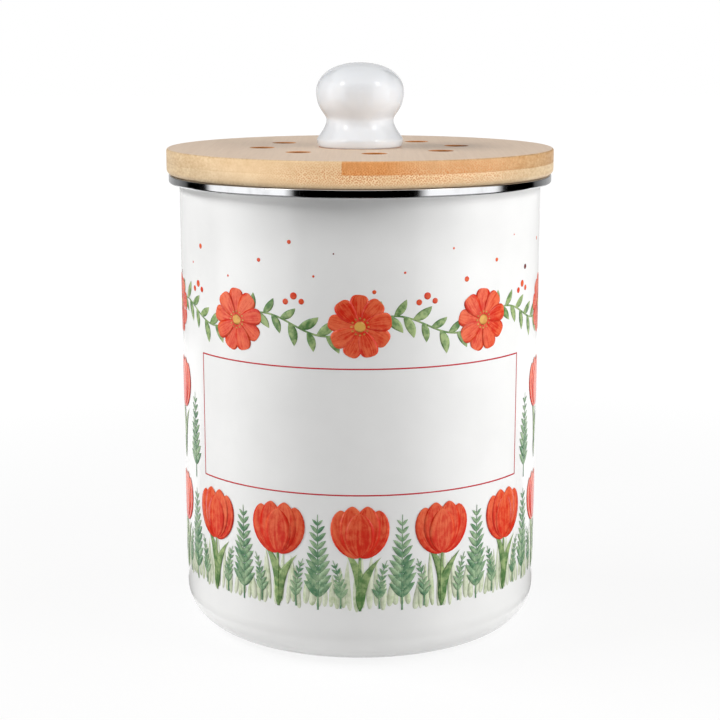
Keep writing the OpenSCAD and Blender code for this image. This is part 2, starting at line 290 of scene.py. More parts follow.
def wrapped(sizes, flat, lift):
    """Points (s, z) of the flat print on the wall: angle s / R, radius of the wall there plus lift."""
    along, height = flat[..., 0], flat[..., 1]
    angle = along / sizes.wall_r
    return polar(wall_radius(sizes, height) + lift, angle, height)


def even(count):
    """Steps from 0 to 1, closer together at both ends: (1 - cos(pi u)) / 2."""
    return (1 - np.cos(np.pi * np.linspace(0, 1, count + 1))) / 2


def left_of(run):
    """Vectors turned a quarter to the left."""
    return np.stack((-run[..., 1], run[..., 0]), axis=-1)


def bent_at(start, end, bow, share):
    """Points and directions at these shares of quadratic curves from start to end, whose middle handle is
    pushed to the left by bow, as a share of the distance between the ends."""
    start, end = np.asarray(start, float), np.asarray(end, float)
    handle = (start + end) / 2 + left_of(end - start) * np.asarray(bow)[..., None]
    start, handle, end = start[..., None, :], handle[..., None, :], end[..., None, :]
    t = share[:, None]
    points = (1 - t) ** 2 * start + 2 * t * (1 - t) * handle + t**2 * end
    return points, 2 * (1 - t) * (handle - start) + 2 * t * (end - handle)


def bent(start, end, bow, count=12):
    """Such curves as paths of count steps."""
    return bent_at(start, end, bow, even(count))[0]


def blade(width, rise, fall, count=12):
    """Half widths along a stroke: width t^rise (1-t)^fall over its own maximum."""
    t = even(count)
    peak = rise / (rise + fall)
    shape = t**rise * (1 - t) ** fall / (peak**rise * (1 - peak) ** fall)
    return np.maximum(np.asarray(width)[..., None] * shape, THIN)


def pointing(angle):
    """Unit vectors at these angles."""
    return np.stack((np.cos(angle), np.sin(angle)), axis=-1)


def row(at, height):
    """Points (s, z) at one height."""
    return np.column_stack((at, np.full(len(at), height)))


def strokes(path, half, tone, layer, sides=2):
    """Ribbons on the flat print. Each reaches half to the left and right of its path, square to it.
    tone is one value from 0 to 1 a stroke, layer its place in the stack of ink."""
    path = path.reshape(-1, *path.shape[-2:])
    count = len(path)
    half = np.broadcast_to(half, path.shape[:2]) if half.ndim == 1 else half.reshape(count, -1)
    run = np.gradient(path, axis=1)
    run /= np.linalg.norm(run, axis=2, keepdims=True)
    across = np.linspace(-1, 1, sides + 1)
    flat = path[:, :, None] + left_of(run)[:, :, None] * (half[..., None] * across)[..., None]
    along = np.linspace(0, 1, path.shape[1])
    shape = flat.shape[:3]
    return {
        "flat": flat,
        "along": np.broadcast_to(along[None, :, None], shape),
        "across": np.broadcast_to(across, shape),
        "tone": np.broadcast_to(np.broadcast_to(tone, count)[:, None, None], shape),
        "layer": np.broadcast_to(np.broadcast_to(layer, count)[:, None, None], shape),
    }


def brushed(start, end, bow, width, rise, fall, tone, layer, sides=2, count=12):
    """Strokes along bent paths of count steps, with half widths by blade."""
    path = bent(start, end, bow, count)
    return strokes(path, blade(width, rise, fall, count), tone, layer, sides)


def discs(centre, radius, tone, layer, count=10, sides=4):
    """Round dots: strokes along s from -r to r with half width sqrt(r^2 - s^2)."""
    centre = np.asarray(centre, float).reshape(-1, 2)
    radius = np.broadcast_to(radius, len(centre))
    reach = 2 * even(count) - 1
    path = centre[:, None] + np.stack((radius[:, None] * reach, 0 * radius[:, None] * reach), axis=-1)
    half = np.maximum(radius[:, None] * np.sqrt(1 - reach**2), THIN)
    return strokes(path, half, tone, layer, sides)


# How far the first layer of ink lies off the enamel, the next ones off it, and how thick each is.
INK_LIFT = 0.03 * MM
INK_STEP = 0.014 * MM
INK_T = 0.01 * MM


def print_piece(operator, name, ink, *groups):
    """The strokes of all groups as one thin closed piece on the wall, in the ink of that name.
    Vertices keep along, across and tone, which the ink's colour follows."""
    points, quads, values = [], [], {"along": [], "across": [], "tone": []}
    offset = 0
    for group in groups:
        flat = group["flat"]
        points.append(wrapped(operator.sizes, flat, INK_LIFT + INK_STEP * group["layer"]).reshape(-1, 3))
        for key, found in values.items():
            found.append(group[key].ravel())
        number = offset + np.arange(flat[..., 0].size).reshape(flat.shape[:3])
        here, ahead = number[:, :-1, :-1], number[:, 1:, :-1]
        ahead_left, left = number[:, 1:, 1:], number[:, :-1, 1:]
        quads.append(np.stack((here, ahead, ahead_left, left), axis=-1).reshape(-1, 4))
        offset += number.size
    mesh = new_mesh(name, np.vstack(points), np.vstack(quads))
    for key, found in values.items():
        mesh.attributes.new(key, "FLOAT", "POINT").data.foreach_set("value", np.concatenate(found))
    piece = new_piece(mesh, ink_material(ink, operator.colours), "bin", "enamel")
    skin = piece.modifiers.new("ink", "SOLIDIFY")
    skin.thickness = INK_T
    skin.offset = -1
    return piece


# ---------------------------------------------------------------- node helpers

WHITE = (1, 1, 1, 1)


class Value:
    """What a socket carries. Arithmetic on it adds Math nodes to its tree."""

    def __init__(self, socket):
        self.socket = socket
        self.tree = socket.id_data

    def maths(self, operation, *others, clamp=False):
        """The result of a Math node on this value and the others."""
        inputs = dict(enumerate((self, *others)))
        return result(self.tree, "ShaderNodeMath", inputs, operation=operation, use_clamp=clamp)

    def __add__(self, other):
        return self.maths("ADD", other)

    def __sub__(self, other):
        return self.maths("SUBTRACT", other)

    def __rsub__(self, other):
        return self.maths("MULTIPLY_ADD", -1, other)

    def __mul__(self, other):
        return self.maths("MULTIPLY", other)

    def __truediv__(self, other):
        return self.maths("DIVIDE", other)

    def __abs__(self):
        return self.maths("ABSOLUTE")


def feed(socket, value):
    """Joins a socket to a value, or sets it to a plain number, vector or colour."""
    if isinstance(value, Value):
        value.tree.links.new(value.socket, socket)
    elif socket.type == "RGBA":
        socket.default_value = (*tuple(value)[:3], 1)
    else:
        socket.default_value = value


def node(tree, kind, inputs=None, **settings):
    """A node of that kind. settings are its own properties; inputs are what its sockets are fed."""
    made = tree.nodes.new(kind)
    for key, setting in settings.items():
        setattr(made, key, setting)
    for key, value in (inputs or {}).items():
        feed(made.inputs[key], value)
    return made


def result(tree, kind, inputs=None, output=0, **settings):
    """What one output of a new node carries."""
    return Value(node(tree, kind, inputs, **settings).outputs[output])


def blended(share, first, second, kind="MIX"):
    """first turning into second by share, as a colour."""
    tree = next(each.tree for each in (share, first, second) if isinstance(each, Value))
    inputs = {0: share, 6: first, 7: second}
    return result(tree, "ShaderNodeMix", inputs, 2, data_type="RGBA", blend_type=kind)


def between(value, low, high, to_low=0.0, to_high=1.0):
    """value eased from to_low at low to to_high at high, and held beyond them."""
    inputs = {"Value": value, "From Min": low, "From Max": high, "To Min": to_low, "To Max": to_high}
    return result(value.tree, "ShaderNodeMapRange", inputs, interpolation_type="SMOOTHSTEP")


def noise(where, scale, detail=2.0, roughness=0.5):
    """A noise value from 0 to 1. A scale of three numbers stretches it along the axes."""
    if isinstance(scale, tuple):
        where = result(where.tree, "ShaderNodeMapping", {"Vector": where, "Scale": scale})
        scale = 1.0
    inputs = {"Vector": where, "Scale": scale, "Detail": detail, "Roughness": roughness}
    return result(where.tree, "ShaderNodeTexNoise", inputs, "Fac")


def place(tree):
    """Object coordinates, in metres."""
    return result(tree, "ShaderNodeTexCoord", output="Object")


def axes(where):
    """A vector's X, Y and Z."""
    return [Value(socket) for socket in node(where.tree, "ShaderNodeSeparateXYZ", {0: where}).outputs]


def vector(x, y, z=0.0):
    """A vector of three values."""
    return result(x.tree, "ShaderNodeCombineXYZ", {0: x, 1: y, 2: z})


def size_of(where):
    """A vector's length."""
    return result(where.tree, "ShaderNodeVectorMath", {0: where}, "Value", operation="LENGTH")


def attribute(tree, name):
    """A value that the mesh carries."""
    return result(tree, "ShaderNodeAttribute", output="Fac", attribute_name=name)


def new_group(name, **inputs):
    """An empty node group, and its inputs as values. A default of four numbers makes a colour."""
    tree = bpy.data.node_groups.new(name, "ShaderNodeTree")
    labels = {key: key.replace("_", " ") for key in inputs}
    for key, default in inputs.items():
        kind = "NodeSocketColor" if isinstance(default, tuple) else "NodeSocketFloat"
        tree.interface.new_socket(labels[key], in_out="INPUT", socket_type=kind).default_value = default
    given = node(tree, "NodeGroupInput").outputs
    return tree, SimpleNamespace(**{key: Value(given[label]) for key, label in labels.items()})


def give(tree, **results):
    """Ends a node group with one output for each result, a colour or a number as the result is."""
    for label, value in results.items():
        kind = "NodeSocketColor" if value.socket.type == "RGBA" else "NodeSocketFloat"
        tree.interface.new_socket(label, in_out="OUTPUT", socket_type=kind)
    node(tree, "NodeGroupOutput", results)
    return tree


def placed(tree, build, **inputs):
    """The outputs of a node group, built when it is first asked for, with these values at its inputs."""
    group = bpy.data.node_groups.get(build.__name__) or build()
    made = node(tree, "ShaderNodeGroup", node_tree=group)
    for key, value in inputs.items():
        feed(made.inputs[key.replace("_", " ")], value)
    return SimpleNamespace(**{socket.name: Value(socket) for socket in made.outputs})


def new_material(name):
    """A material and its node tree."""
    material = bpy.data.materials.new(name)
    material.use_nodes = True
    return material, material.node_tree


def shade(material, height, depth, **values):
    """Feeds the material's Principled shader, and a bump of that height, which is depth metres deep."""
    shader = material.node_tree.nodes["Principled BSDF"]
    for key, value in values.items():
        feed(shader.inputs[key.replace("_", " ")], value)
    bump = {"Height": height, "Distance": depth, "Strength": 1.0}
    feed(shader.inputs["Normal"], result(material.node_tree, "ShaderNodeBump", bump))
    return material


def scaled(tint, by):
    """A colour times a number."""
    return tuple(by * value for value in tint)


# ---------------------------------------------------------------- shared effects


def fired_flow():
    """Fired glass: a long slow ripple with a finer one on it, and faint clouds in its whiteness."""
    tree, given = new_group("fired_flow", Wave=60.0, Fine=420.0)
    where = place(tree)
    height = noise(where, given.Fine) * 0.12 + noise(where, given.Wave, 1.0)
    return give(tree, Height=height, Cloud=noise(where, 22.0, 3.0, 0.6))


def handling():
    """Touch marks: soft patches and short wiped streaks that shift a surface's roughness."""
    tree, given = new_group("handling", Roughness=0.3, Change=0.1, Scale=40.0)
    where = place(tree)
    patches = between(noise(where, given.Scale, 3.0, 0.6), 0.35, 0.7)
    marks = noise(where, (300, 300, 900), 2.0, 0.7) * 0.35 + patches
    return give(tree, Roughness=marks * given.Change + given.Roughness)


def turning():
    """Lines left by turning or polishing: rings about the Z axis, from noise on radius and height."""
    tree, given = new_group("turning", Lines=9000.0)
    x, y, z = axes(place(tree))
    radius = (x * x + y * y).maths("SQRT")
    return give(tree, Height=noise(vector(radius, z), given.Lines, 3.0, 0.7))


# The board's strips: their width, and how far left of the middle the dark one starts.
STRIP_W = 33.5 * MM
STRIP_SHIFT = 6.7 * MM
# Noise scales along the axes: low in Y, which the fibres follow.
FINE_GRAIN = (1000, 30, 1000)
BAND_GRAIN = (230, 9, 230)
UPRIGHT_GRAIN = (1900, 20, 330)
JOINT_GRAIN = (900, 20, 900)
BUNDLES_A_METRE = 850.0
# Where the bores' darker colour (painted shade), the ring of painted shade round the knob's foot and the
# glue line start, then where each is full.
BORE_SHADE_OUT_R, BORE_SHADE_IN_R = 70 * MM, 66 * MM
SHADE_OUT_R, SHADE_IN_R = 18.5 * MM, 18.2 * MM
SEAM_OUT, SEAM_IN = 0.22 * MM, 0.03 * MM
SEAM_TINT = (0.84, 0.78, 0.7)


def bamboo():
    """Solid laminated bamboo with its fibres along Y. The board is made of strips side by side in X.
    Fibre bundles are cells in X and Z that run on along Y, so they are dots on the front of the edge
    and streaks on its sides and on the faces. The surface's own direction picks end, side or face colour.
    One strip is dark from its left joint on, and fades to the right."""
    tree, given = new_group(
        "bamboo", Long=WHITE, End=WHITE, Face=WHITE, Dark=WHITE, Bundle=WHITE, Bore=WHITE,
        Dark_Share=0.0, Dense_Low=0.0, Dense_High=1.0, Seed=0.0,
    )
    coordinates = node(tree, "ShaderNodeTexCoord").outputs
    where = Value(coordinates["Object"])
    x, y, z = axes(where)
    radius = size_of(vector(x, y))
    facing = axes(Value(coordinates["Normal"]))
    end_share = between(abs(facing[1]), 0.45, 0.97)
    end_tint = between(abs(facing[1]), 0.55, 1.0)
    face_share = between(abs(facing[2]), 0.8, 0.97)

    # Strips, whose joints wander a little.
    ragged = noise(where, JOINT_GRAIN, 3.0, 0.7) * (1.2 * MM)
    across = (x + (ragged + STRIP_SHIFT)) / STRIP_W
    joint = between(abs(across.maths("FRACT") - 0.5), 0.4955, 0.4995)
    number = across.maths("FLOOR") + given.Seed
    chance = result(tree, "ShaderNodeTexWhiteNoise", {"W": number}, "Value", noise_dimensions="1D")
    dark = between(across, 0.45, 1.2, 1.0, 0.36) * across.maths("GREATER_THAN", 0.0) * given.Dark_Share

    # Fibre bundles.
    fine = noise(where, FINE_GRAIN, 3.0, 0.6)
    band = noise(where, BAND_GRAIN)
    upright = noise(where, UPRIGHT_GRAIN)
    drift = noise(where, (40, 40, 40), 1.0) * (2.0 * MM)
    cells = {"Vector": vector(x + z + drift, x - z), "Scale": BUNDLES_A_METRE, "Randomness": 0.62}
    from_cell = result(tree, "ShaderNodeTexVoronoi", cells, "Distance", voronoi_dimensions="2D")
    dense = between(z, given.Dense_Low, given.Dense_High)
    strength = (dense * 0.72 + 0.24) * between(band, 0.3, 0.6, 0.6, 1.0)
    on_end = (end_share * 0.93 + 0.05) * between(x, -50 * MM, -4 * MM, 0.04, 1.0)
    bundles = (between(from_cell, 0.43, 0.22) * strength).maths("MULTIPLY", on_end, clamp=True)

    # Colours by direction, with painted shade: a darker orange in the bores, and an orange ring round the
    # knob's foot.
    end = blended(dark, given.End, given.Dark)
    long = blended(dark * 0.5, given.Long, given.Dark)
    side = blended(end_tint, long, end)
    # Painted shade in the vents: inside the ring of holes the side colour turns to the bores' darker orange.
    side = blended(between(radius, BORE_SHADE_OUT_R, BORE_SHADE_IN_R, 0.0, 0.85), side, given.Bore)
    wood = blended(face_share, side, given.Face)
    # Painted shade with the orange of light bounced off the board: the top face turns to the fibres' colour
    # just round the knob's foot, under its base.
    wood = blended(face_share * between(radius, SHADE_OUT_R, SHADE_IN_R) * 0.9, wood, given.Bundle)

    # Grain: red varies less than blue.
    lines = (fine - 0.5) * (end_share * -0.87 + 1.0) + (band - 0.5) * 0.34
    lines = lines + (upright - 0.5) * 0.7 * (dark * end_share)
    level = lines * (face_share * -0.6 + 1.0) + 0.98 + chance * 0.04
    tan = between(across, 0.6, 1.6, -0.08, -0.31) * given.Dark_Share
    level = level + tan * (1.0 - face_share)
    warm = {index: level * share + (1 - share) for index, share in enumerate((0.7, 1.0, 1.35))}
    wood = blended(1.0, wood, result(tree, "ShaderNodeCombineColor", warm), "MULTIPLY")
    wood = blended(bundles, wood, given.Bundle)

    # The glue line between the plies, and the strips' joints.
    seam = between(abs(z - GLUE_Z), SEAM_OUT, SEAM_IN) * between(band, 0.4, 0.65, 0.04, 0.5)
    seam = seam.maths("MULTIPLY", between(end_share, 0.0, 1.0, 1.9, 0.8), clamp=True)
    seam = seam.maths("MAXIMUM", joint * 0.18)
    wood = blended(seam, wood, SEAM_TINT, "MULTIPLY")
    return give(tree, Color=wood, Roughness=fine * 0.16 + 0.36, Height=fine * 0.4 - (bundles + seam))


def watercolour():
    """Watercolour: paint runs from pale to deep along a stroke, pools at its edges, clouds in patches
    and grains where pigment settles. Veins run the length of a petal."""
    tree, given = new_group(
        "watercolour", Pale=WHITE, Deep=WHITE, Root=0.3, Pool=0.3, Cloud=0.5, Veins=0.0, Start=0.25
    )
    where = place(tree)
    along, across, tone = (attribute(tree, key) for key in ("along", "across", "tone"))
    root = (1.0 - along) * given.Root
    pool = between(abs(across), 0.62, 1.0) * given.Pool
    cloud = between(noise(where, 330.0, 3.0, 0.6), 0.32, 0.68, -0.5, 0.5) * given.Cloud
    spread = vector(tone * 31.0 + across * 2.6, along, tone)
    vein = between(noise(spread, 2.2, 3.0, 0.6), 0.35, 0.65, -0.5, 0.5) * given.Veins
    depth = tone * 0.35 + given.Start + root + pool + cloud + vein
    paint = blended(between(depth, 0.0, 1.0), given.Pale, given.Deep)
    grain = noise(where, 2600.0, 2.0, 0.7)
    level = between(grain, 0.25, 0.75, 0.93, 1.05)
    grey = result(tree, "ShaderNodeCombineColor", dict.fromkeys(range(3), level))
    return give(tree, Color=blended(1.0, paint, grey, "MULTIPLY"), Height=grain)


# ---------------------------------------------------------------- materials


def handled(tree, roughness, change, scale):
    """A roughness with touch marks."""
    return placed(tree, handling, Roughness=roughness, Change=change, Scale=scale).Roughness


def mottled(tree, scale, low, high, main, patch, detail=3.0):
    """main with soft patches of another colour, where a noise goes from low to high."""
    return blended(between(noise(place(tree), scale, detail), low, high), main, patch)


def enamel_material(colours):
    """White enamel: a slow ripple under the gloss, faint clouds, grey marks where it stands."""
    material, tree = new_material("enamel_white")
    flow = placed(tree, fired_flow, Wave=70.0, Fine=520.0)
    white = blended(between(flow.Cloud, 0.3, 0.7), colours.enamel, scaled(colours.enamel, 0.955))
    touch = between(axes(place(tree))[2], 0.35 * MM, 0.05 * MM)
    scuffed = touch * between(noise(place(tree), 700.0, 3.0), 0.42, 0.6)
    return shade(
        material, flow.Height, 0.02 * MM,
        Base_Color=blended(scuffed, white, srgb(120, 118, 116)), Roughness=handled(tree, 0.16, 0.05, 30.0),
        IOR=1.52, Specular_IOR_Level=0.5,
    )


# Scale and depth of the rings; level, change and scale of the roughness; scale, start and end of patches.
METALS = {
    "steel_polished": (7000.0, 0.0004 * MM, (0.055, 0.05, 90.0), (120.0, 0.4, 0.7)),
    "screw_plated": (5200.0, 0.002 * MM, (0.26, 0.14, 260.0), (500.0, 0.35, 0.7)),
    "brass_turned": (6200.0, 0.002 * MM, (0.3, 0.12, 300.0), (380.0, 0.4, 0.7)),
}


def metal_material(name, main, patch):
    """Turned or polished metal: fine rings, touch marks, and patches of another tint."""
    lines, depth, roughness, patches = METALS[name]
    material, tree = new_material(name)
    return shade(
        material, placed(tree, turning, Lines=lines).Height, depth, Metallic=1.0,
        Base_Color=mottled(tree, *patches, main, patch), Roughness=handled(tree, *roughness),
    )


def bamboo_material(name, colours, under, over, **values):
    """Oiled bamboo for one ply, whose fibres are densest between heights under and over."""
    material, tree = new_material(name)
    tints = {
        key.title(): getattr(colours, "bamboo_" + key)
        for key in ("long", "end", "face", "dark", "bundle", "bore")
    }
    wood = placed(tree, bamboo, **tints, Dense_Low=under, Dense_High=over, **values)
    return shade(
        material, wood.Height, 0.015 * MM, Base_Color=wood.Color, Roughness=wood.Roughness,
        IOR=1.46, Coat_Weight=0.12, Coat_Roughness=0.3,
    )


def glaze_material(colours):
    """Glazed stoneware: a glassy coat over white clay, with a slow ripple and a few pinholes."""
    material, tree = new_material("glaze_white")
    flow = placed(tree, fired_flow, Wave=110.0, Fine=700.0)
    white = blended(between(flow.Cloud, 0.3, 0.7), colours.glaze, scaled(colours.glaze, 0.965))
    pin = result(tree, "ShaderNodeTexVoronoi", {"Vector": place(tree), "Scale": 190.0}, "Distance")
    white = blended(between(pin, 0.045, 0.02) * 0.25, white, srgb(150, 140, 128))
    return shade(
        material, flow.Height, 0.012 * MM, Base_Color=white, Roughness=handled(tree, 0.1, 0.06, 60.0),
        IOR=1.5, Coat_Weight=0.4, Coat_Roughness=0.05,
        Subsurface_Weight=0.25, Subsurface_Radius=(1.0, 0.9, 0.8), Subsurface_Scale=0.004,
    )


def silicone_material(colours):
    """Milky silicone: soft sheen, a moulded mist of grain and dust that clings to it."""
    material, tree = new_material("silicone_milky")
    dusty = scaled(colours.silicone, 0.88)
    return shade(
        material, noise(place(tree), 3000.0), 0.004 * MM,
        Base_Color=mottled(tree, 800.0, 0.5, 0.75, colours.silicone, dusty, 4.0),
        Roughness=handled(tree, 0.42, 0.14, 120.0), Subsurface_Weight=0.15, Subsurface_Scale=0.002, IOR=1.41,
    )


def plastic_material(colours):
    """Moulded plastic with a spark-eroded texture and slight flow clouds."""
    material, tree = new_material("plastic_moulded")
    dull = scaled(colours.plastic, 0.9)
    return shade(
        material, noise(place(tree), 4200.0), 0.012 * MM,
        Base_Color=mottled(tree, 45.0, 0.35, 0.7, colours.plastic, dull),
        Roughness=handled(tree, 0.45, 0.12, 70.0), IOR=1.49,
    )


def felt_material(colours):
    """Charcoal felt: tangled dark fibres with some paler ones, and no gloss."""
    material, tree = new_material("felt_charcoal")
    one_way, other_way = (
        noise(place(tree), scale, 3.0, 0.7) for scale in ((2600, 420, 900), (420, 2600, 900))
    )
    tangle = one_way.maths("MAXIMUM", other_way)
    fibres = blended(between(tangle, 0.52, 0.78), colours.charcoal, scaled(colours.charcoal, 3.2))
    return shade(
        material, tangle, 0.25 * MM, Base_Color=fibres, Roughness=0.95, Specular_IOR_Level=0.2,
        Sheen_Weight=0.35, Sheen_Roughness=0.5,
    )


# Pale and deep colour; how strong root, pools, clouds and veins are; and the depth that paint starts from.
INKS = {
    "ink_line": ("line", "line", 0.0, 0.1, 0.25, 0.0, 0.6),
    "ink_wash": ("wash_pale", "wash_deep", 0.15, 0.18, 0.55, 0.0, 0.02),
    "ink_fern": ("fern_pale", "fern_deep", 0.3, 0.25, 0.7, 0.0, 0.1),
    "ink_leaf": ("leaf_pale", "leaf_deep", 0.35, 0.2, 0.6, 0.0, 0.1),
    "ink_petal": ("petal_pale", "petal_deep", 0.45, 0.22, 0.4, 0.45, 0.1),
    "ink_vine": ("leaf_pale", "leaf_deep", 0.3, 0.25, 0.7, 0.0, 0.08),
    "ink_heart": ("heart", srgb(176, 84, 30), 0.1, 0.5, 0.5, 0.0, 0.1),
    "ink_dot_warm": ("dot_warm", "petal_deep", 0.1, 0.3, 0.4, 0.0, 0.2),
    "ink_dot_dark": ("dot_dark", srgb(82, 22, 24), 0.1, 0.4, 0.3, 0.0, 0.1),
}
LINE_PALE = 1.15


def ink_material(name, colours):
    """Fired print in watercolour, as glossy as the enamel that it is fused to."""
    ink = bpy.data.materials.get(name)
    if ink:
        return ink
    pale, deep, root, pool, cloud, veins, start = INKS[name]
    material, tree = new_material(name)
    paint = placed(
        tree, watercolour, Pale=scaled(getattr(colours, pale), LINE_PALE if pale == deep else 1),
        Deep=getattr(colours, deep) if isinstance(deep, str) else deep,
        Root=root, Pool=pool, Cloud=cloud, Veins=veins, Start=start,
    )
    flow = placed(tree, fired_flow, Wave=70.0, Fine=520.0)
    return shade(
        material, flow.Height, 0.02 * MM, Base_Color=paint.Color,
        Roughness=handled(tree, 0.2, 0.06, 30.0), IOR=1.52,
    )


def dress(node_name, material):
    """Gives a CAD node's slots the material."""
    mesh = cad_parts[node_name].data
    for index in range(len(mesh.materials)):
        mesh.materials[index] = material


# ---------------------------------------------------------------- operators: the bin


class CaddyOperator:
    """What every operator here shares: it works in the scene and can be undone."""

    bl_options = {"REGISTER", "UNDO"}

    @property
    def sizes(self):
        """The scene's sizes."""
        return bpy.context.scene.caddy_sizes

    @property
    def colours(self):
        """The scene's colours."""
        return bpy.context.scene.caddy_colours


class CADDY_OT_shell(CaddyOperator, Operator):
    """Turn the enamelled pot: base, rounded foot, tapering wall and flange"""

    bl_idname = "caddy.shell"
    bl_label = "Enamelled shell"

    def execute(self, context):
        s = self.sizes
        foot_r = s.wall_foot_r - s.corner_r
        recess_r = foot_r - s.stand_w
        panel_r = recess_r - s.base_step
        flange_r = RIM_R - s.rim_t
        edge_r = s.rim_top_r - s.rim_t
        bend = mouth_centre(s)
        foot = (foot_r, s.corner_r)
        base = joined(
            line((0, s.base_lift), (panel_r, s.base_lift), 4 * MM),
            bezier(
                (panel_r, s.base_lift), (panel_r + s.base_step * 0.6, s.base_lift),
                (recess_r - s.base_step * 0.4, 0), (recess_r, 0), 12,
            ),
            line((recess_r, 0), (foot_r, 0), 1 * MM),
        )
        outline = joined(
            base,
            arc(foot, s.corner_r, -90, 0, 2),
            line((s.wall_foot_r, s.corner_r), (s.wall_r, bend[1]), 3 * MM),
            arc(bend, s.mouth_bend, 180, 90, 15),
            line((bend[0], FLANGE_TOP - s.sheet), (flange_r, FLANGE_TOP - s.sheet), 1 * MM),
            arc((flange_r - edge_r, FLANGE_TOP - edge_r), edge_r, 0, 90, 15),
            line((flange_r - edge_r, FLANGE_TOP), (bend[0], FLANGE_TOP), 1 * MM),
            arc(bend, s.mouth_bend + s.sheet, 90, 180, 6),
            line((s.wall_r - s.sheet, bend[1]), (s.wall_foot_r - s.sheet, s.corner_r), 4 * MM),
            arc(foot, s.corner_r - s.sheet, 0, -90, 3),
            base[::-1] + (0, s.sheet),
        )
        mesh = turned("enamel_shell", outline)
        new_piece(mesh, enamel_material(self.colours), "bin", "enamel", "body_shell")
        return {"FINISHED"}


class CADDY_OT_rim(CaddyOperator, Operator):
    """Roll the thin steel band over the flange"""

    bl_idname = "caddy.rim"
    bl_label = "Steel rim"

    def execute(self, context):
        s = self.sizes
        bend = mouth_centre(s)
        bend_r = s.mouth_bend + s.sheet
        flange_under = FLANGE_TOP - s.sheet
        edge_r = s.rim_top_r - s.rim_t
        edge = (RIM_R - s.rim_top_r, RIM_TOP - s.rim_top_r)
        roll_in_r = s.rim_roll_r - s.rim_t
        roll_z = RIM_UNDER + s.rim_roll_r
        lap_r = RIM_R - s.rim_lap
        roll = (RIM_R - s.rim_roll_r, roll_z)
        turn_up = (lap_r + s.rim_roll_r, roll_z)
        wrap = 50
        tip = s.rim_t / 2
        lip_r = bend_r + tip
        lip_end = np.radians(90 + wrap)
        lip = (bend[0] + lip_r * math.cos(lip_end), bend[1] + lip_r * math.sin(lip_end))
        outline = joined(
            arc(lip, tip, 90 + wrap, 270 + wrap, 20)[::-1],
            arc(bend, bend_r + s.rim_t, 90 + wrap, 90, 4),
            line((bend[0], RIM_TOP), edge + np.array((0, s.rim_top_r)), 0.5 * MM),
            arc(edge, s.rim_top_r, 90, 0, 6),
            line((RIM_R, edge[1]), (RIM_R, roll_z), 0.25 * MM),
            arc(roll, s.rim_roll_r, 0, -90, 6),
            line((roll[0], RIM_UNDER), (turn_up[0], RIM_UNDER), 0.25 * MM),
            arc(turn_up, s.rim_roll_r, -90, -180, 6),
            line((lap_r, roll_z), (lap_r, flange_under), 0.25 * MM),
            line((lap_r, flange_under), (lap_r + s.rim_t, flange_under), 0.25 * MM),
            arc(turn_up, roll_in_r, -180, -90, 15),
            line((turn_up[0], RIM_UNDER + s.rim_t), (roll[0], RIM_UNDER + s.rim_t), 0.25 * MM),
            arc(roll, roll_in_r, -90, 0, 15),
            line((RIM_R - s.rim_t, roll_z), (RIM_R - s.rim_t, edge[1]), 0.25 * MM),
            arc(edge, edge_r, 0, 90, 15),
            line((edge[0], FLANGE_TOP), (bend[0], FLANGE_TOP), 0.5 * MM),
            arc(bend, bend_r, 90, 90 + wrap, 5),
        )
        mesh = turned("rim_roll", outline[:-1])
        steel = self.colours.steel
        finish = metal_material("steel_polished", steel, scaled(steel, 0.86))
        new_piece(mesh, finish, "bin", "rim_steel", "rim_band")
        return {"FINISHED"}


# ---------------------------------------------------------------- operators: the lid


class CADDY_OT_board(CaddyOperator, Operator):
    """Give the board's two plies and the turned plug their bamboo"""

    bl_idname = "caddy.board"
    bl_label = "Bamboo board"

    def execute(self, context):
        ply = GLUE_Z - BOARD_UNDER
        for piece, name, under, over, dark, seed in (
            ("lid_upper_ply", "bamboo_upper", GLUE_Z + 1.2 * ply, GLUE_Z - 0.2 * ply, 1.0, 3.0),
            ("lid_lower_ply", "bamboo_lower", BOARD_UNDER, BOARD_UNDER + 0.7 * ply, 0.0, 8.0),
            ("lid_plug", "bamboo_plug", 0.0, BOARD_UNDER, 0.0, 5.0),
        ):
            dress(piece, bamboo_material(name, self.colours, under, over, Dark_Share=dark, Seed=seed))
        return {"FINISHED"}


class CADDY_OT_knob(CaddyOperator, Operator):
    """Throw the glazed knob: soft foot, flared base, waisted neck, full head, and the insert's bore"""

    bl_idname = "caddy.knob"
    bl_label = "Glazed knob"

    def execute(self, context):
        s = self.sizes
        foot = np.array((s.knob_foot_r, 0))
        base = np.array((s.knob_base_r, s.knob_base_z))
        neck = np.array((s.knob_neck_r, s.knob_neck_z))
        head = np.array((HEAD_R, s.knob_head_z))
        top = np.array((0, KNOB_H))
        flare_h = neck[1] - base[1]
        throat_h = head[1] - neck[1]
        crown_h = top[1] - head[1]
        outline = joined(
            line((0, s.knob_bore_h), (s.knob_bore_r, s.knob_bore_h), 1.5 * MM),
            line((s.knob_bore_r, s.knob_bore_h), (s.knob_bore_r, 0), 3 * MM),
            line((s.knob_bore_r, 0), foot, 2 * MM),
            bezier(foot, foot + (0.6 * (base - foot)[0], 0), base - (0, 0.5 * base[1]), base, 16),
            bezier(base, base + (0, 0.15 * flare_h), neck - (0, 0.4 * flare_h), neck, 24),
            bezier(neck, neck + (0, 0.24 * throat_h), head - (0, 0.675 * throat_h), head, 32),
            bezier(head, head + (0, 0.58 * crown_h), top + (0.6 * HEAD_R, 0), top, 40),
        )
        outline[:, 1] += KNOB_FOOT_Z
        mesh = turned("knob_glazed", outline, 192)
        new_piece(mesh, glaze_material(self.colours), "lid", "glaze", "knob")
        return {"FINISHED"}


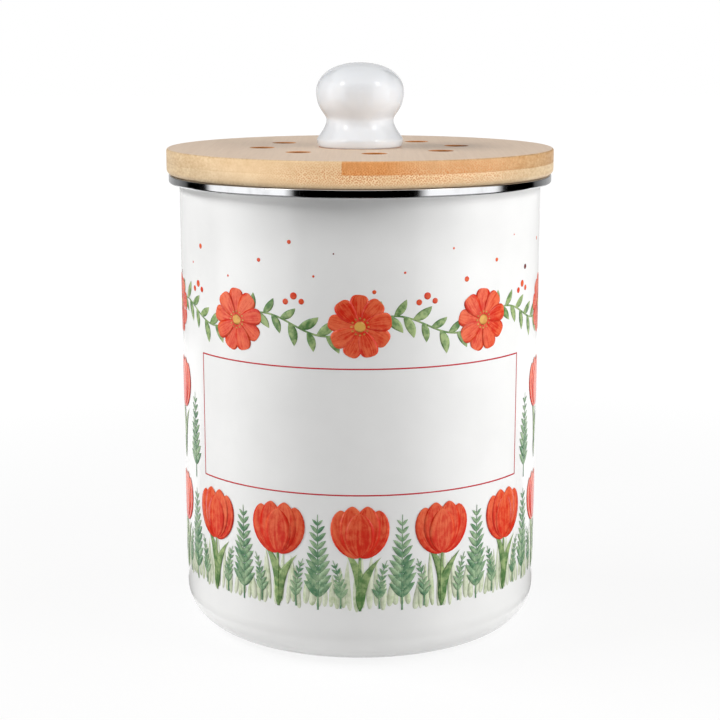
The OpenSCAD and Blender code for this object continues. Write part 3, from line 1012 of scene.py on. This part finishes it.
class CADDY_OT_seal(CaddyOperator, Operator):
    """Mould the silicone ring with its two fins"""

    bl_idname = "caddy.seal"
    bl_label = "Silicone seal"

    def execute(self, context):
        back_r = PLUG_R - 2.5 * MM
        lip_r = PLUG_R + 0.7 * MM
        tip_r = SEAL_HIGH.x
        body_h = 3.5 * MM
        fin_t, tip_t, rise = 0.8 * MM, 0.56 * MM, 1.1 * MM
        low = SEAL_LOW.z
        high = low + body_h
        runs = [line((back_r, low), (lip_r, low), 0.5 * MM)]
        for index in range(2):
            root = low + (index + 0.5) * body_h / 2 - fin_t / 2
            centre = (tip_r - tip_t / 2, root + rise + tip_t / 2)
            runs.append(line((lip_r, root + 0.1 * MM), (centre[0], root + rise), 0.5 * MM))
            runs.append(arc(centre, tip_t / 2, -90, 90, 20))
            runs.append(line((centre[0], root + rise + tip_t), (lip_r, root + fin_t + 0.08 * MM), 0.5 * MM))
        runs.append(line((lip_r, high), (back_r, high), 0.5 * MM))
        runs.append(line((back_r, high), (back_r, low), 0.5 * MM)[:-1])
        mesh = turned("seal_ring", joined(*runs))
        new_piece(mesh, silicone_material(self.colours), "lid", "seal_silicone", "lid_seal")
        return {"FINISHED"}


# Size of the felt's waves, how far its faces sink, and the waves' radians a metre.
FELT_WAVE, FELT_SINK = 0.06 * MM, 0.18 * MM
FELT_PACES = (120, 260, 520, 900)


def felt_ripple(x, y, z):
    """Uneven felt: a sum of slow waves in X and Y, mirrored on the pad's two faces, and less at its rim."""
    rng = np.random.default_rng(SEED)
    total = np.zeros_like(x)
    for pace in FELT_PACES:
        turn, phase = rng.uniform(0, 2 * math.pi, 2)
        wave = np.sin(pace * (x * math.cos(turn) + y * math.sin(turn)) + phase)
        total += wave / math.sqrt(pace / FELT_PACES[0])
    inward = 1 - (np.hypot(x, y) / PAD_HIGH.x) ** 6
    middle = (PAD_LOW.z + PAD_HIGH.z) / 2
    return (FELT_WAVE * total - FELT_SINK) * inward * np.sign(z - middle)


class CADDY_OT_filter(CaddyOperator, Operator):
    """Lay the charcoal felt pad and finish the plastic cage and holder"""

    bl_idname = "caddy.filter"
    bl_label = "Charcoal filter"

    def execute(self, context):
        edge = 1.5 * MM
        low, high, outer = PAD_LOW.z, PAD_HIGH.z, PAD_HIGH.x
        outline = joined(
            line((0, low), (outer - edge, low), 1 * MM),
            arc((outer - edge, low + edge), edge, -90, 0, 10),
            line((outer, low + edge), (outer, high - edge), 0.6 * MM),
            arc((outer - edge, high - edge), edge, 0, 90, 10),
            line((outer - edge, high), (0, high), 1 * MM),
        )
        mesh = turned("filter_felt", outline, 192, felt_ripple)
        pad = new_piece(mesh, felt_material(self.colours), "filter_cage", "charcoal_felt", "filter_pad")
        plastic = plastic_material(self.colours)
        dress("filter_holder", plastic)
        dress("filter_cover", plastic)
        return {"FINISHED"}


class CADDY_OT_fixings(CaddyOperator, Operator):
    """Finish the screws, the washer and the brass insert"""

    bl_idname = "caddy.fixings"
    bl_label = "Screws and insert"

    def execute(self, context):
        plated = metal_material("screw_plated", srgb(196, 199, 204), srgb(168, 170, 174))
        for name in ("knob_screw", "knob_washer", "filter_holder_screws"):
            dress(name, plated)
        dress("knob_insert", metal_material("brass_turned", srgb(206, 170, 92), srgb(150, 112, 58)))
        return {"FINISHED"}


# ---------------------------------------------------------------- operators: the print


class CADDY_OT_panel_frame(CaddyOperator, Operator):
    """Draw the thin line round the bare label panel"""

    bl_idname = "caddy.panel_frame"
    bl_label = "Label frame"

    def execute(self, context):
        s = self.sizes
        half = s.panel_w / 2
        nib = s.panel_line / 2
        level = [line((-half, z), (half, z), 1.5 * MM) for z in (s.panel_low, s.panel_high)]
        upright = [line((at, s.panel_low), (at, s.panel_high), 3 * MM) for at in (half, -half)]
        for path in level:
            path[0, 0] -= nib
            path[-1, 0] += nib
        sets = [
            strokes(np.array(paths), np.full(len(paths[0]), nib), 0.6, layer, 1)
            for paths, layer in ((level, 0), (upright, 1))
        ]
        print_piece(self, "label_frame", "ink_line", *sets)
        return {"FINISHED"}


BESIDE_PANEL = 8 * MM
WASHES_A_UNIT = 13


def places_round(sizes, units, shift=0.0):
    """As many even places round the wall, one in front but for the shift, and the distance between them."""
    pitch = 2 * math.pi * sizes.wall_r / units
    return (np.arange(units) + shift - units // 2) * pitch, pitch


def outside_panel(sizes, place_s, margin):
    """Which places round the wall lie beyond the label panel's ends."""
    return np.abs(place_s) > sizes.panel_w / 2 + margin


class CADDY_OT_washes(CaddyOperator, Operator):
    """Brush the pale leaves that stand behind the lower border, in scallops"""

    bl_idname = "caddy.washes"
    bl_label = "Background leaves"

    def execute(self, context):
        s = self.sizes
        rng = np.random.default_rng(SEED)
        pitch = places_round(s, s.border_units)[1]
        count = s.border_units * WASHES_A_UNIT
        at = (np.arange(count) + 0.5) * pitch / WASHES_A_UNIT - math.pi * s.wall_r
        wave = np.cos(2 * math.pi * at / pitch)
        tall = (17 + 7.5 * wave + rng.uniform(-2.5, 2.5, count)) * MM
        lean = rng.uniform(-2.2, 2.2, count) * MM
        foot_z = s.border_low + rng.uniform(-0.6, 2.4, count) * MM
        start = np.column_stack((at, foot_z))
        end = np.column_stack((at + lean, foot_z + tall))
        bow = rng.uniform(-0.07, 0.07, count)
        width = rng.uniform(1.0, 1.75, count) * MM
        tone = rng.uniform(0, 1, count)
        leaves = brushed(start, end, bow, width, 0.42, 0.8, tone, np.arange(count) % 3)
        print_piece(self, "print_washes", "ink_wash", leaves)
        return {"FINISHED"}


def frond(foot, tip, bow, pairs, longest, tilt, layer, rng):
    """A fern: a curved stem, and pairs of leaflets that shorten towards its tip.
    Leaflet k starts on the stem at share (k + 1.6) / (pairs + 2) and leans out by tilt."""
    stem = bent(foot, tip, bow, 24)
    share = (np.arange(pairs) + 1.6) / (pairs + 2)
    root, heading = bent_at(foot, tip, bow, share)
    angle = np.arctan2(heading[..., 1], heading[..., 0])
    size = longest * (1 - 0.72 * share) * np.minimum(1, 0.62 + 2.2 * share)
    size = size * rng.uniform(0.9, 1.1, root.shape[:-1])
    leaflets = []
    for side in (-1, 1):
        lean = angle + side * math.radians(tilt)
        end = root + size[..., None] * pointing(lean)
        tone = rng.uniform(0, 1, size.size)
        above = layer + (side + 1) // 2
        leaflets.append(brushed(root, end, -side * 0.12, size * 0.17, 0.7, 0.9, tone, above, count=8))
    stem_half = np.linspace(0.42, 0.14, 25) * MM
    return [*leaflets, strokes(stem, stem_half, 0.8, layer + 2)]


class CADDY_OT_ferns(CaddyOperator, Operator):
    """Draw the ferns between the tulips, and the tall ones round the back"""

    bl_idname = "caddy.ferns"
    bl_label = "Ferns"

    def execute(self, context):
        s = self.sizes
        rng = np.random.default_rng(SEED + 1)
        at, pitch = places_round(s, s.border_units)
        at = at + pitch / 2
        foot = row(at, s.border_low)
        height = s.border_top - s.border_low - 4 * MM
        low = frond(foot, foot + (0, height), 0.0, 10, 10.5 * MM, 42, 5, rng)
        side = at[outside_panel(s, at, BESIDE_PANEL)]
        tall_foot = row(side, s.border_low + height + 5 * MM)
        tall = frond(tall_foot, tall_foot + (0, 38 * MM), 0.0, 9, 9.5 * MM, 42, 5, rng)
        small_at = np.concatenate((at - 0.27 * pitch, at + 0.27 * pitch))
        bow = np.repeat((0.12, -0.12), len(at))
        small_foot = row(small_at, s.border_low + 1 * MM)
        lean = np.sign(bow)[:, None] * np.array((3.2 * MM, 0))
        small = frond(small_foot, small_foot + (0, 21 * MM) + lean, bow, 6, 6.2 * MM, 36, 9, rng)
        print_piece(self, "print_ferns", "ink_fern", *low, *tall, *small)
        return {"FINISHED"}


# Each leaf's side, its reach in millimetres and its height as a share of the stem and half the bloom.
TULIP_LEAVES = ((-1, 8.2, 0.84), (1, 9.0, 0.68))
# Each petal's lean and height as shares of the bloom's height, its bow, and its half width as such a share.
TULIP_CUP = (
    (-0.36, 0.92, 0.22, 0.26), (0.36, 0.92, -0.22, 0.26), (-0.14, 1.0, 0.1, 0.27),
    (0.14, 1.0, -0.1, 0.27), (0.0, 0.86, 0.0, 0.28),
)


def tulips(foot, stem_h, bloom_h, layer, rng):
    """Tulips on straight stems: two long leaves from each foot, and a cup of five petals.
    The strokes come back as leaves and petals."""
    count = len(foot)
    neck = foot + (0, stem_h)
    leaves = []
    for side, reach, tall in TULIP_LEAVES:
        tip = foot + np.array((side * reach * MM, tall * (stem_h + bloom_h * 0.5)))
        tone = rng.uniform(0.2, 1, count)
        above = layer + (side + 1) // 2
        leaves.append(brushed(foot, tip, side * 0.24, 2.15 * MM, 0.75, 1.25, tone, above, 4, 16))
    stem = bent(foot, neck + (0, 1 * MM), 0.02, 10)
    leaves.append(strokes(stem, np.linspace(0.62, 0.5, 11) * MM, 0.75, layer + 2))
    petals = []
    for order, (lean, tall, bow, wide) in enumerate(TULIP_CUP):
        tip = neck + np.array((lean * bloom_h, tall * bloom_h))
        tone = rng.uniform(0.1, 0.9, count)
        above = layer + 3 + order
        petals.append(brushed(neck, tip, bow, wide * bloom_h, 0.62, 0.62, tone, above, 8, 16))
    return leaves, petals


class CADDY_OT_tulips(CaddyOperator, Operator):
    """Paint the tulips of the lower border, and a second tier beyond the label panel"""

    bl_idname = "caddy.tulips"
    bl_label = "Tulips"

    def execute(self, context):
        s = self.sizes
        rng = np.random.default_rng(SEED + 2)
        at = places_round(s, s.border_units)[0]
        bloom_h = 22 * MM
        stem_h = s.border_top - s.border_low - bloom_h
        leaves, petals = tulips(row(at, s.border_low), stem_h, bloom_h, 8, rng)
        side = at[outside_panel(s, at, BESIDE_PANEL)]
        tier = row(side, s.border_top + 6 * MM)
        tier_leaves, tier_petals = tulips(tier, 24 * MM, bloom_h, 8, rng)
        print_piece(self, "print_tulip_leaves", "ink_leaf", *leaves, *tier_leaves)
        print_piece(self, "print_tulips", "ink_petal", *petals, *tier_petals)
        return {"FINISHED"}


# The garland: the vine's swing and half width, the leaves a unit and their lean off the vine in degrees.
VINE_SWING = 4.2 * MM
VINE_HALF = 0.38 * MM
VINE_LEAVES = 14
LEAF_LEAN = 52
# Its daisies: how far from the middle a petal starts and ends, the order in which petals lie, the heart.
PETAL_REACH = (1.0 * MM, 13.2 * MM)
PETAL_ORDER = (0, 5, 1, 6, 2, 7, 3, 8, 4)
HEART_R = 2.3 * MM
STAMENS = 12
STAMEN_REACH, STAMEN_R = 3.5 * MM, 0.48 * MM


def garland_height(sizes, at, pitch):
    """The vine's height: a sine wave with one crest and one trough between blossoms."""
    return sizes.garland_z + VINE_SWING * np.sin(2 * math.pi * at / pitch)


class CADDY_OT_garland(CaddyOperator, Operator):
    """Wind the upper garland: a waving vine with leaves and daisies of nine petals"""

    bl_idname = "caddy.garland"
    bl_label = "Garland"

    def execute(self, context):
        s = self.sizes
        rng = np.random.default_rng(SEED + 3)
        round_s = 2 * math.pi * s.wall_r
        centre_s, pitch = places_round(s, s.garland_units)
        knots = np.linspace(-round_s / 2, round_s / 2, s.garland_units * 4 + 1)
        inner = np.linspace(0, 1, 13)
        vine_s = knots[:-1, None] + inner * (knots[1] - knots[0])
        vine = np.stack((vine_s, garland_height(s, vine_s, pitch)), axis=-1)
        vine_strokes = strokes(vine, np.full(len(inner), VINE_HALF), 0.7, 0)

        count = s.garland_units * VINE_LEAVES
        leaf_s = (np.arange(count) + 0.5) * pitch / VINE_LEAVES - round_s / 2
        side = np.where(np.arange(count) % 2 == 0, 1.0, -1.0)
        slope = np.arctan(VINE_SWING * 2 * math.pi / pitch * np.cos(2 * math.pi * leaf_s / pitch))
        lean = slope + side * math.radians(LEAF_LEAN)
        root = np.column_stack((leaf_s, garland_height(s, leaf_s, pitch)))
        size = rng.uniform(8.0, 10.5, count) * MM
        tip = root + size[:, None] * pointing(lean)
        tone = rng.uniform(0, 1, count)
        leaves = brushed(root, tip, -side * 0.16, size * 0.2, 0.85, 0.95, tone, 1, 4)
        print_piece(self, "print_vine", "ink_vine", vine_strokes, leaves)

        centre = row(centre_s, s.garland_z)
        petal_count = len(PETAL_ORDER)
        outward = pointing(np.radians(90 + 360 / petal_count * np.arange(petal_count)))
        start, end = (centre[:, None] + reach * outward for reach in PETAL_REACH)
        count = s.garland_units * petal_count
        width = rng.uniform(3.5, 4.1, count) * MM
        tone = rng.uniform(0.05, 0.95, count)
        layer = 3 + np.tile(PETAL_ORDER, len(centre)) / 2
        petals = brushed(start, end, 0.05, width, 0.85, 0.34, tone, layer, 6, 14)
        print_piece(self, "print_blossoms", "ink_petal", petals)

        stamens = centre[:, None] + STAMEN_REACH * pointing(np.radians(360 / STAMENS * np.arange(STAMENS)))
        hearts = discs(centre, HEART_R, 0.2, 9)
        dots = discs(stamens, STAMEN_R, 0.9, 9)
        print_piece(self, "print_hearts", "ink_heart", hearts, dots)
        return {"FINISHED"}


# In millimetres: the dots' lowest height, their reach above it, and their radii with the share of each.
DOTS_LOW, DOTS_RISE = 161, 24
DOT_RADII = (0.34, 0.5, 0.85, 1.15)
DOT_SHARES = (0.3, 0.3, 0.25, 0.15)
# Each berry's way from the point between two blossoms, and its radius, in millimetres.
BERRIES = ((-3.4, 9.5, 1.25), (0.2, 12.0, 1.5), (3.6, 9.8, 1.2))


class CADDY_OT_dots(CaddyOperator, Operator):
    """Scatter small dots above the garland and set the berries between its blossoms"""

    bl_idname = "caddy.dots"
    bl_label = "Dots"

    def execute(self, context):
        s = self.sizes
        round_s = 2 * math.pi * s.wall_r
        count = s.garland_units * 4
        rng = np.random.default_rng(SEED + 5)
        at = (np.arange(count) + rng.uniform(0.1, 0.9, count)) * round_s / count - round_s / 2
        height = DOTS_LOW + DOTS_RISE * np.mod(np.arange(count) * 0.382 + rng.uniform(0, 0.2, count), 1)
        radius = rng.choice(DOT_RADII, count, p=DOT_SHARES) * MM
        places = np.column_stack((at, height * MM))
        wine = np.arange(count) % 7 == 3
        warm = [discs(places[~wine], radius[~wine], 0.5, 0)]
        dark = [discs(places[wine], radius[wine], 0.5, 0)]
        middle = places_round(s, s.garland_units, 0.5)[0]
        for shift, height, radius in BERRIES:
            places = row(middle + shift * MM, s.garland_z + height * MM)
            warm.append(discs(places, radius * MM, 0.8, 2))
        print_piece(self, "print_dots", "ink_dot_warm", *warm)
        print_piece(self, "print_dots_dark", "ink_dot_dark", *dark)
        return {"FINISHED"}


# ---------------------------------------------------------------- operators: the stage

CARD_R, CARD_MIDDLE_R, CARD_IN_R = 0.75, 0.16, 0.087
CARD_TOP, SKY_FOOT = 0.9, 0.28
CARD_STEPS = 40
CARD_SOFT = 6
CARD_NEAR_Y, CARD_FAR_Y = 0.31, 0.75

# Profiles (r, z) of the cards: both ends of each.
WALL = ((CARD_R, 0), (CARD_R, CARD_TOP))
FLOOR = ((CARD_MIDDLE_R, 1 * MM), (CARD_R, 1 * MM))
INNER = ((CARD_IN_R, 1 * MM), (CARD_MIDDLE_R, 1 * MM))
BACK = ((CARD_R, 0), (CARD_R, SKY_FOOT))
SKY = ((CARD_R, SKY_FOOT), (CARD_R, CARD_TOP))
WINDOW = ((0.7, 0.62), (0.7, 1.0))

# Name, start and end in degrees, levels of the wall, of the floor and of the floor near the object.
SIDE_CARDS = (
    ("card_front", -36, 32, 0.0, 0.0, 0.0),
    ("card_left", -98, -36, 1.25, 0.38, 0.15),
    ("card_right", 32, 88, 1.25, 0.38, 0.15),
    ("card_left_far", -116, -98, 0.0, 0.03, 0.03),
    ("card_right_far", 88, 118, 0.0, 0.03, 0.03),
)
# Name, start and end in degrees, profile, levels in front and at the back.
OTHER_CARDS = (
    ("card_back", 118, 244, BACK, 0.03, 0.6),
    ("card_sky", 158, 202, SKY, 0.75, 0.75),
    ("card_sky_left", 202, 244, SKY, 0.15, 0.15),
    ("card_sky_right", 118, 158, SKY, 0.15, 0.15),
    ("window_left", -62, -48, WINDOW, 5.0, 5.0),
    ("window_right", 48, 62, WINDOW, 5.0, 5.0),
)
# Name, position, width and height, watts. All face the object's middle.
AREA_LAMPS = (
    ("lamp_left", (-1.05, -0.1, 0.95), (1.0, 0.35), 14.6),
    ("lamp_left_low", (-1.1, -0.1, 0.22), (1.0, 0.4), 3.7),
    ("lamp_right", (1.05, -0.1, 0.95), (1.0, 0.35), 3.8),
    ("lamp_right_low", (1.1, -0.1, 0.22), (1.0, 0.4), 7.0),
    ("lamp_right_near", (0.5, -0.3, 0.5), (0.3, 0.3), 1.5),
)
# Name, position, aim, cone in degrees, share of it that fades, watts.
SPOT_LAMPS = (
    ("spot_wall", (0, -1.2, 0.1), (0, 0, 0.0638), 13.15, 0.26, 6.5),
    ("spot_knob", (0, -0.9, 0.222), (0, 0, 0.5229), 40.0, 0.03, 16.5),
)
OBJECT_MIDDLE = (0, 0, 0.12)
SPOT_R = 0.004
FLOOR_HALF = 6.0
FLOOR_DROP = 0.2 * MM
FLOOR_GREY = (0.75, 0.75, 0.75)
FLOOR_GLOW = 1.03
CAMERA_AT = (0, -0.7697, 0.2662)
CAMERA_TILT = 79.1
CAMERA_LENS = 86.285
CAMERA_SENSOR = 36


def seen_directly(tree):
    """1 for rays from the camera, a mirror or glass that no matt surface has scattered, else 0."""
    path = node(tree, "ShaderNodeLightPath").outputs
    labels = ("Is Camera Ray", "Is Glossy Ray", "Is Transmission Ray", "Diffuse Depth")
    camera, glossy, through, scattered = (Value(path[label]) for label in labels)
    direct = camera.maths("MAXIMUM", glossy).maths("MAXIMUM", through)
    return direct * scattered.maths("LESS_THAN", 0.5)


def stage_material(name):
    """A material for the stage, which lights nothing by itself, and its emptied tree."""
    material, tree = new_material(name)
    tree.nodes.clear()
    material.cycles.emission_sampling = "NONE"
    return material, tree


def card_material(name, near, far):
    """A card's plain emitter, whose level goes evenly from near in front to far at the back of the studio.
    It only shows where it is seen directly, so it throws no light."""
    material, tree = stage_material(name)
    back = axes(place(tree))[1]
    inputs = {"Value": back, "From Min": CARD_NEAR_Y, "From Max": CARD_FAR_Y, "To Min": near, "To Max": far}
    level = result(tree, "ShaderNodeMapRange", inputs) * attribute(tree, "inside") * seen_directly(tree)
    glow = result(tree, "ShaderNodeEmission", {"Color": WHITE, "Strength": level})
    node(tree, "ShaderNodeOutputMaterial", {"Surface": glow})
    return material


def add(context, name, data):
    """A new object in the scene."""
    added = bpy.data.objects.new(name, data)
    context.scene.collection.objects.link(added)
    return added


class CADDY_OT_stage(CaddyOperator, Operator):
    """Set the floor, the world, the lamps, the reflection cards and the camera"""

    bl_idname = "caddy.stage"
    bl_label = "Stage"

    def execute(self, context):
        self.world(context)
        self.floor(context)
        for name, start, end, *levels in SIDE_CARDS:
            for part, profile, level in zip(("", "_floor", "_inner"), (WALL, FLOOR, INNER), levels):
                self.card(context, name + part, start, end, profile, level, level, CARD_SOFT)
        for card in OTHER_CARDS:
            self.card(context, *card)
        for name, position, size, watts in AREA_LAMPS:
            light = self.lamp(context, name, "AREA", position, OBJECT_MIDDLE, watts)
            light.shape = "RECTANGLE"
            light.size, light.size_y = size
        for name, position, aim, cone, soft, watts in SPOT_LAMPS:
            light = self.lamp(context, name, "SPOT", position, aim, watts)
            light.spot_size = math.radians(cone)
            light.spot_blend = soft
            light.shadow_soft_size = SPOT_R
        self.camera(context)
        context.scene.view_settings.view_transform = "Standard"
        return {"FINISHED"}

    def world(self, context):
        """White where it is seen directly, and no light."""
        world = bpy.data.worlds.new("studio")
        context.scene.world = world
        world.use_nodes = True
        tree = world.node_tree
        tree.nodes.clear()
        back = result(tree, "ShaderNodeBackground", {"Color": WHITE, "Strength": seen_directly(tree)})
        node(tree, "ShaderNodeOutputWorld", {"Surface": back})

    def floor(self, context):
        """White paper where it is seen directly, but for the object's shadow; clear from below."""
        near, far, drop = -FLOOR_HALF, FLOOR_HALF, -FLOOR_DROP
        ends = [(near, near, drop), (far, near, drop), (far, far, drop), (near, far, drop)]
        mesh = bpy.data.meshes.new("floor")
        mesh.from_pydata(ends, [], [(0, 1, 2, 3)])
        material, tree = stage_material("floor_paper")
        mesh.materials.append(material)
        paper = result(tree, "ShaderNodeBsdfDiffuse", {"Color": FLOOR_GREY})
        glow = result(tree, "ShaderNodeEmission", {"Color": WHITE, "Strength": FLOOR_GLOW})
        share = seen_directly(tree) * between(size_of(place(tree)), 0.2, 0.7, 0.86, 1.0)
        lit = result(tree, "ShaderNodeMixShader", {0: share, 1: paper, 2: glow})
        below = result(tree, "ShaderNodeNewGeometry", output="Backfacing")
        clear = result(tree, "ShaderNodeBsdfTransparent")
        seen = result(tree, "ShaderNodeMixShader", {0: below, 1: lit, 2: clear})
        node(tree, "ShaderNodeOutputMaterial", {"Surface": seen})
        add(context, "floor", mesh)

    def card(self, context, name, start, end, profile, near, far, soft=0.01):
        """A curved card round the object that only mirrors see: (r sin a, -r cos a, z) for both ends of a
        profile (r, z). Its light fades out over the last soft degrees at both ends."""
        degrees = np.linspace(start, end, CARD_STEPS + 1)
        angle = np.radians(degrees)
        inside = np.clip(np.minimum(degrees - start, end - degrees) / soft, 0, 1)
        rings = [polar(r, angle, z) for r, z in profile]
        low = np.arange(CARD_STEPS)
        high = low + len(angle)
        mesh = new_mesh(name, np.vstack(rings), np.column_stack((low, low + 1, high + 1, high)))
        mesh.attributes.new("inside", "FLOAT", "POINT").data.foreach_set("value", np.tile(inside, 2))
        mesh.materials.append(card_material(name, near, far))
        card = add(context, name, mesh)
        card.visible_camera = False
        card.visible_diffuse = False
        card.visible_shadow = False
        card.visible_transmission = False

    def lamp(self, context, name, kind, position, aim, watts):
        """A lamp that faces its aim and shows in no mirror. Its light comes back for its other values."""
        light = bpy.data.lights.new(name, kind)
        light.energy = watts
        lamp = add(context, name, light)
        lamp.location = position
        lamp.rotation_euler = (Vector(aim) - Vector(position)).to_track_quat("-Z", "Y").to_euler()
        lamp.visible_glossy = False
        return light

    def camera(self, context):
        """The photograph's viewpoint."""
        lens = bpy.data.cameras.new("camera")
        lens.sensor_width = CAMERA_SENSOR
        lens.lens = CAMERA_LENS
        camera = add(context, "camera", lens)
        camera.location = CAMERA_AT
        camera.rotation_euler = (math.radians(CAMERA_TILT), 0, 0)
        context.scene.camera = camera


# ---------------------------------------------------------------- panel and registration

STEPS = (
    CADDY_OT_stage,
    CADDY_OT_shell,
    CADDY_OT_rim,
    CADDY_OT_board,
    CADDY_OT_knob,
    CADDY_OT_seal,
    CADDY_OT_filter,
    CADDY_OT_fixings,
    CADDY_OT_panel_frame,
    CADDY_OT_washes,
    CADDY_OT_ferns,
    CADDY_OT_tulips,
    CADDY_OT_garland,
    CADDY_OT_dots,
)


class CADDY_PT_build(Panel):
    """Lists the caddy's sizes, colours and building steps"""

    bl_idname = "CADDY_PT_build"
    bl_label = "Scraps Caddy"
    bl_space_type = "VIEW_3D"
    bl_region_type = "UI"
    bl_category = "Caddy"

    def draw(self, context):
        for title, group in (("Sizes", context.scene.caddy_sizes), ("Colours", context.scene.caddy_colours)):
            box = self.layout.box()
            box.label(text=title)
            for key in group.bl_rna.properties.keys():
                if key not in ("rna_type", "name"):
                    box.prop(group, key)
        for step in STEPS:
            self.layout.operator(step.bl_idname)


CLASSES = (CaddySizes, CaddyColours, *STEPS, CADDY_PT_build)


def register():
    """Makes the add-on known to Blender, and gives each scene its sizes and colours."""
    for cls in CLASSES:
        bpy.utils.register_class(cls)
    bpy.types.Scene.caddy_sizes = PointerProperty(type=CaddySizes)
    bpy.types.Scene.caddy_colours = PointerProperty(type=CaddyColours)


def unregister():
    """Takes all of it away again."""
    del bpy.types.Scene.caddy_colours
    del bpy.types.Scene.caddy_sizes
    for cls in reversed(CLASSES):
        bpy.utils.unregister_class(cls)


def main():
    """Runs every step."""
    register()
    for step in STEPS:
        group, name = step.bl_idname.split(".")
        getattr(getattr(bpy.ops, group), name)()
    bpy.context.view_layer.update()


if __name__ == "__main__":
    main()
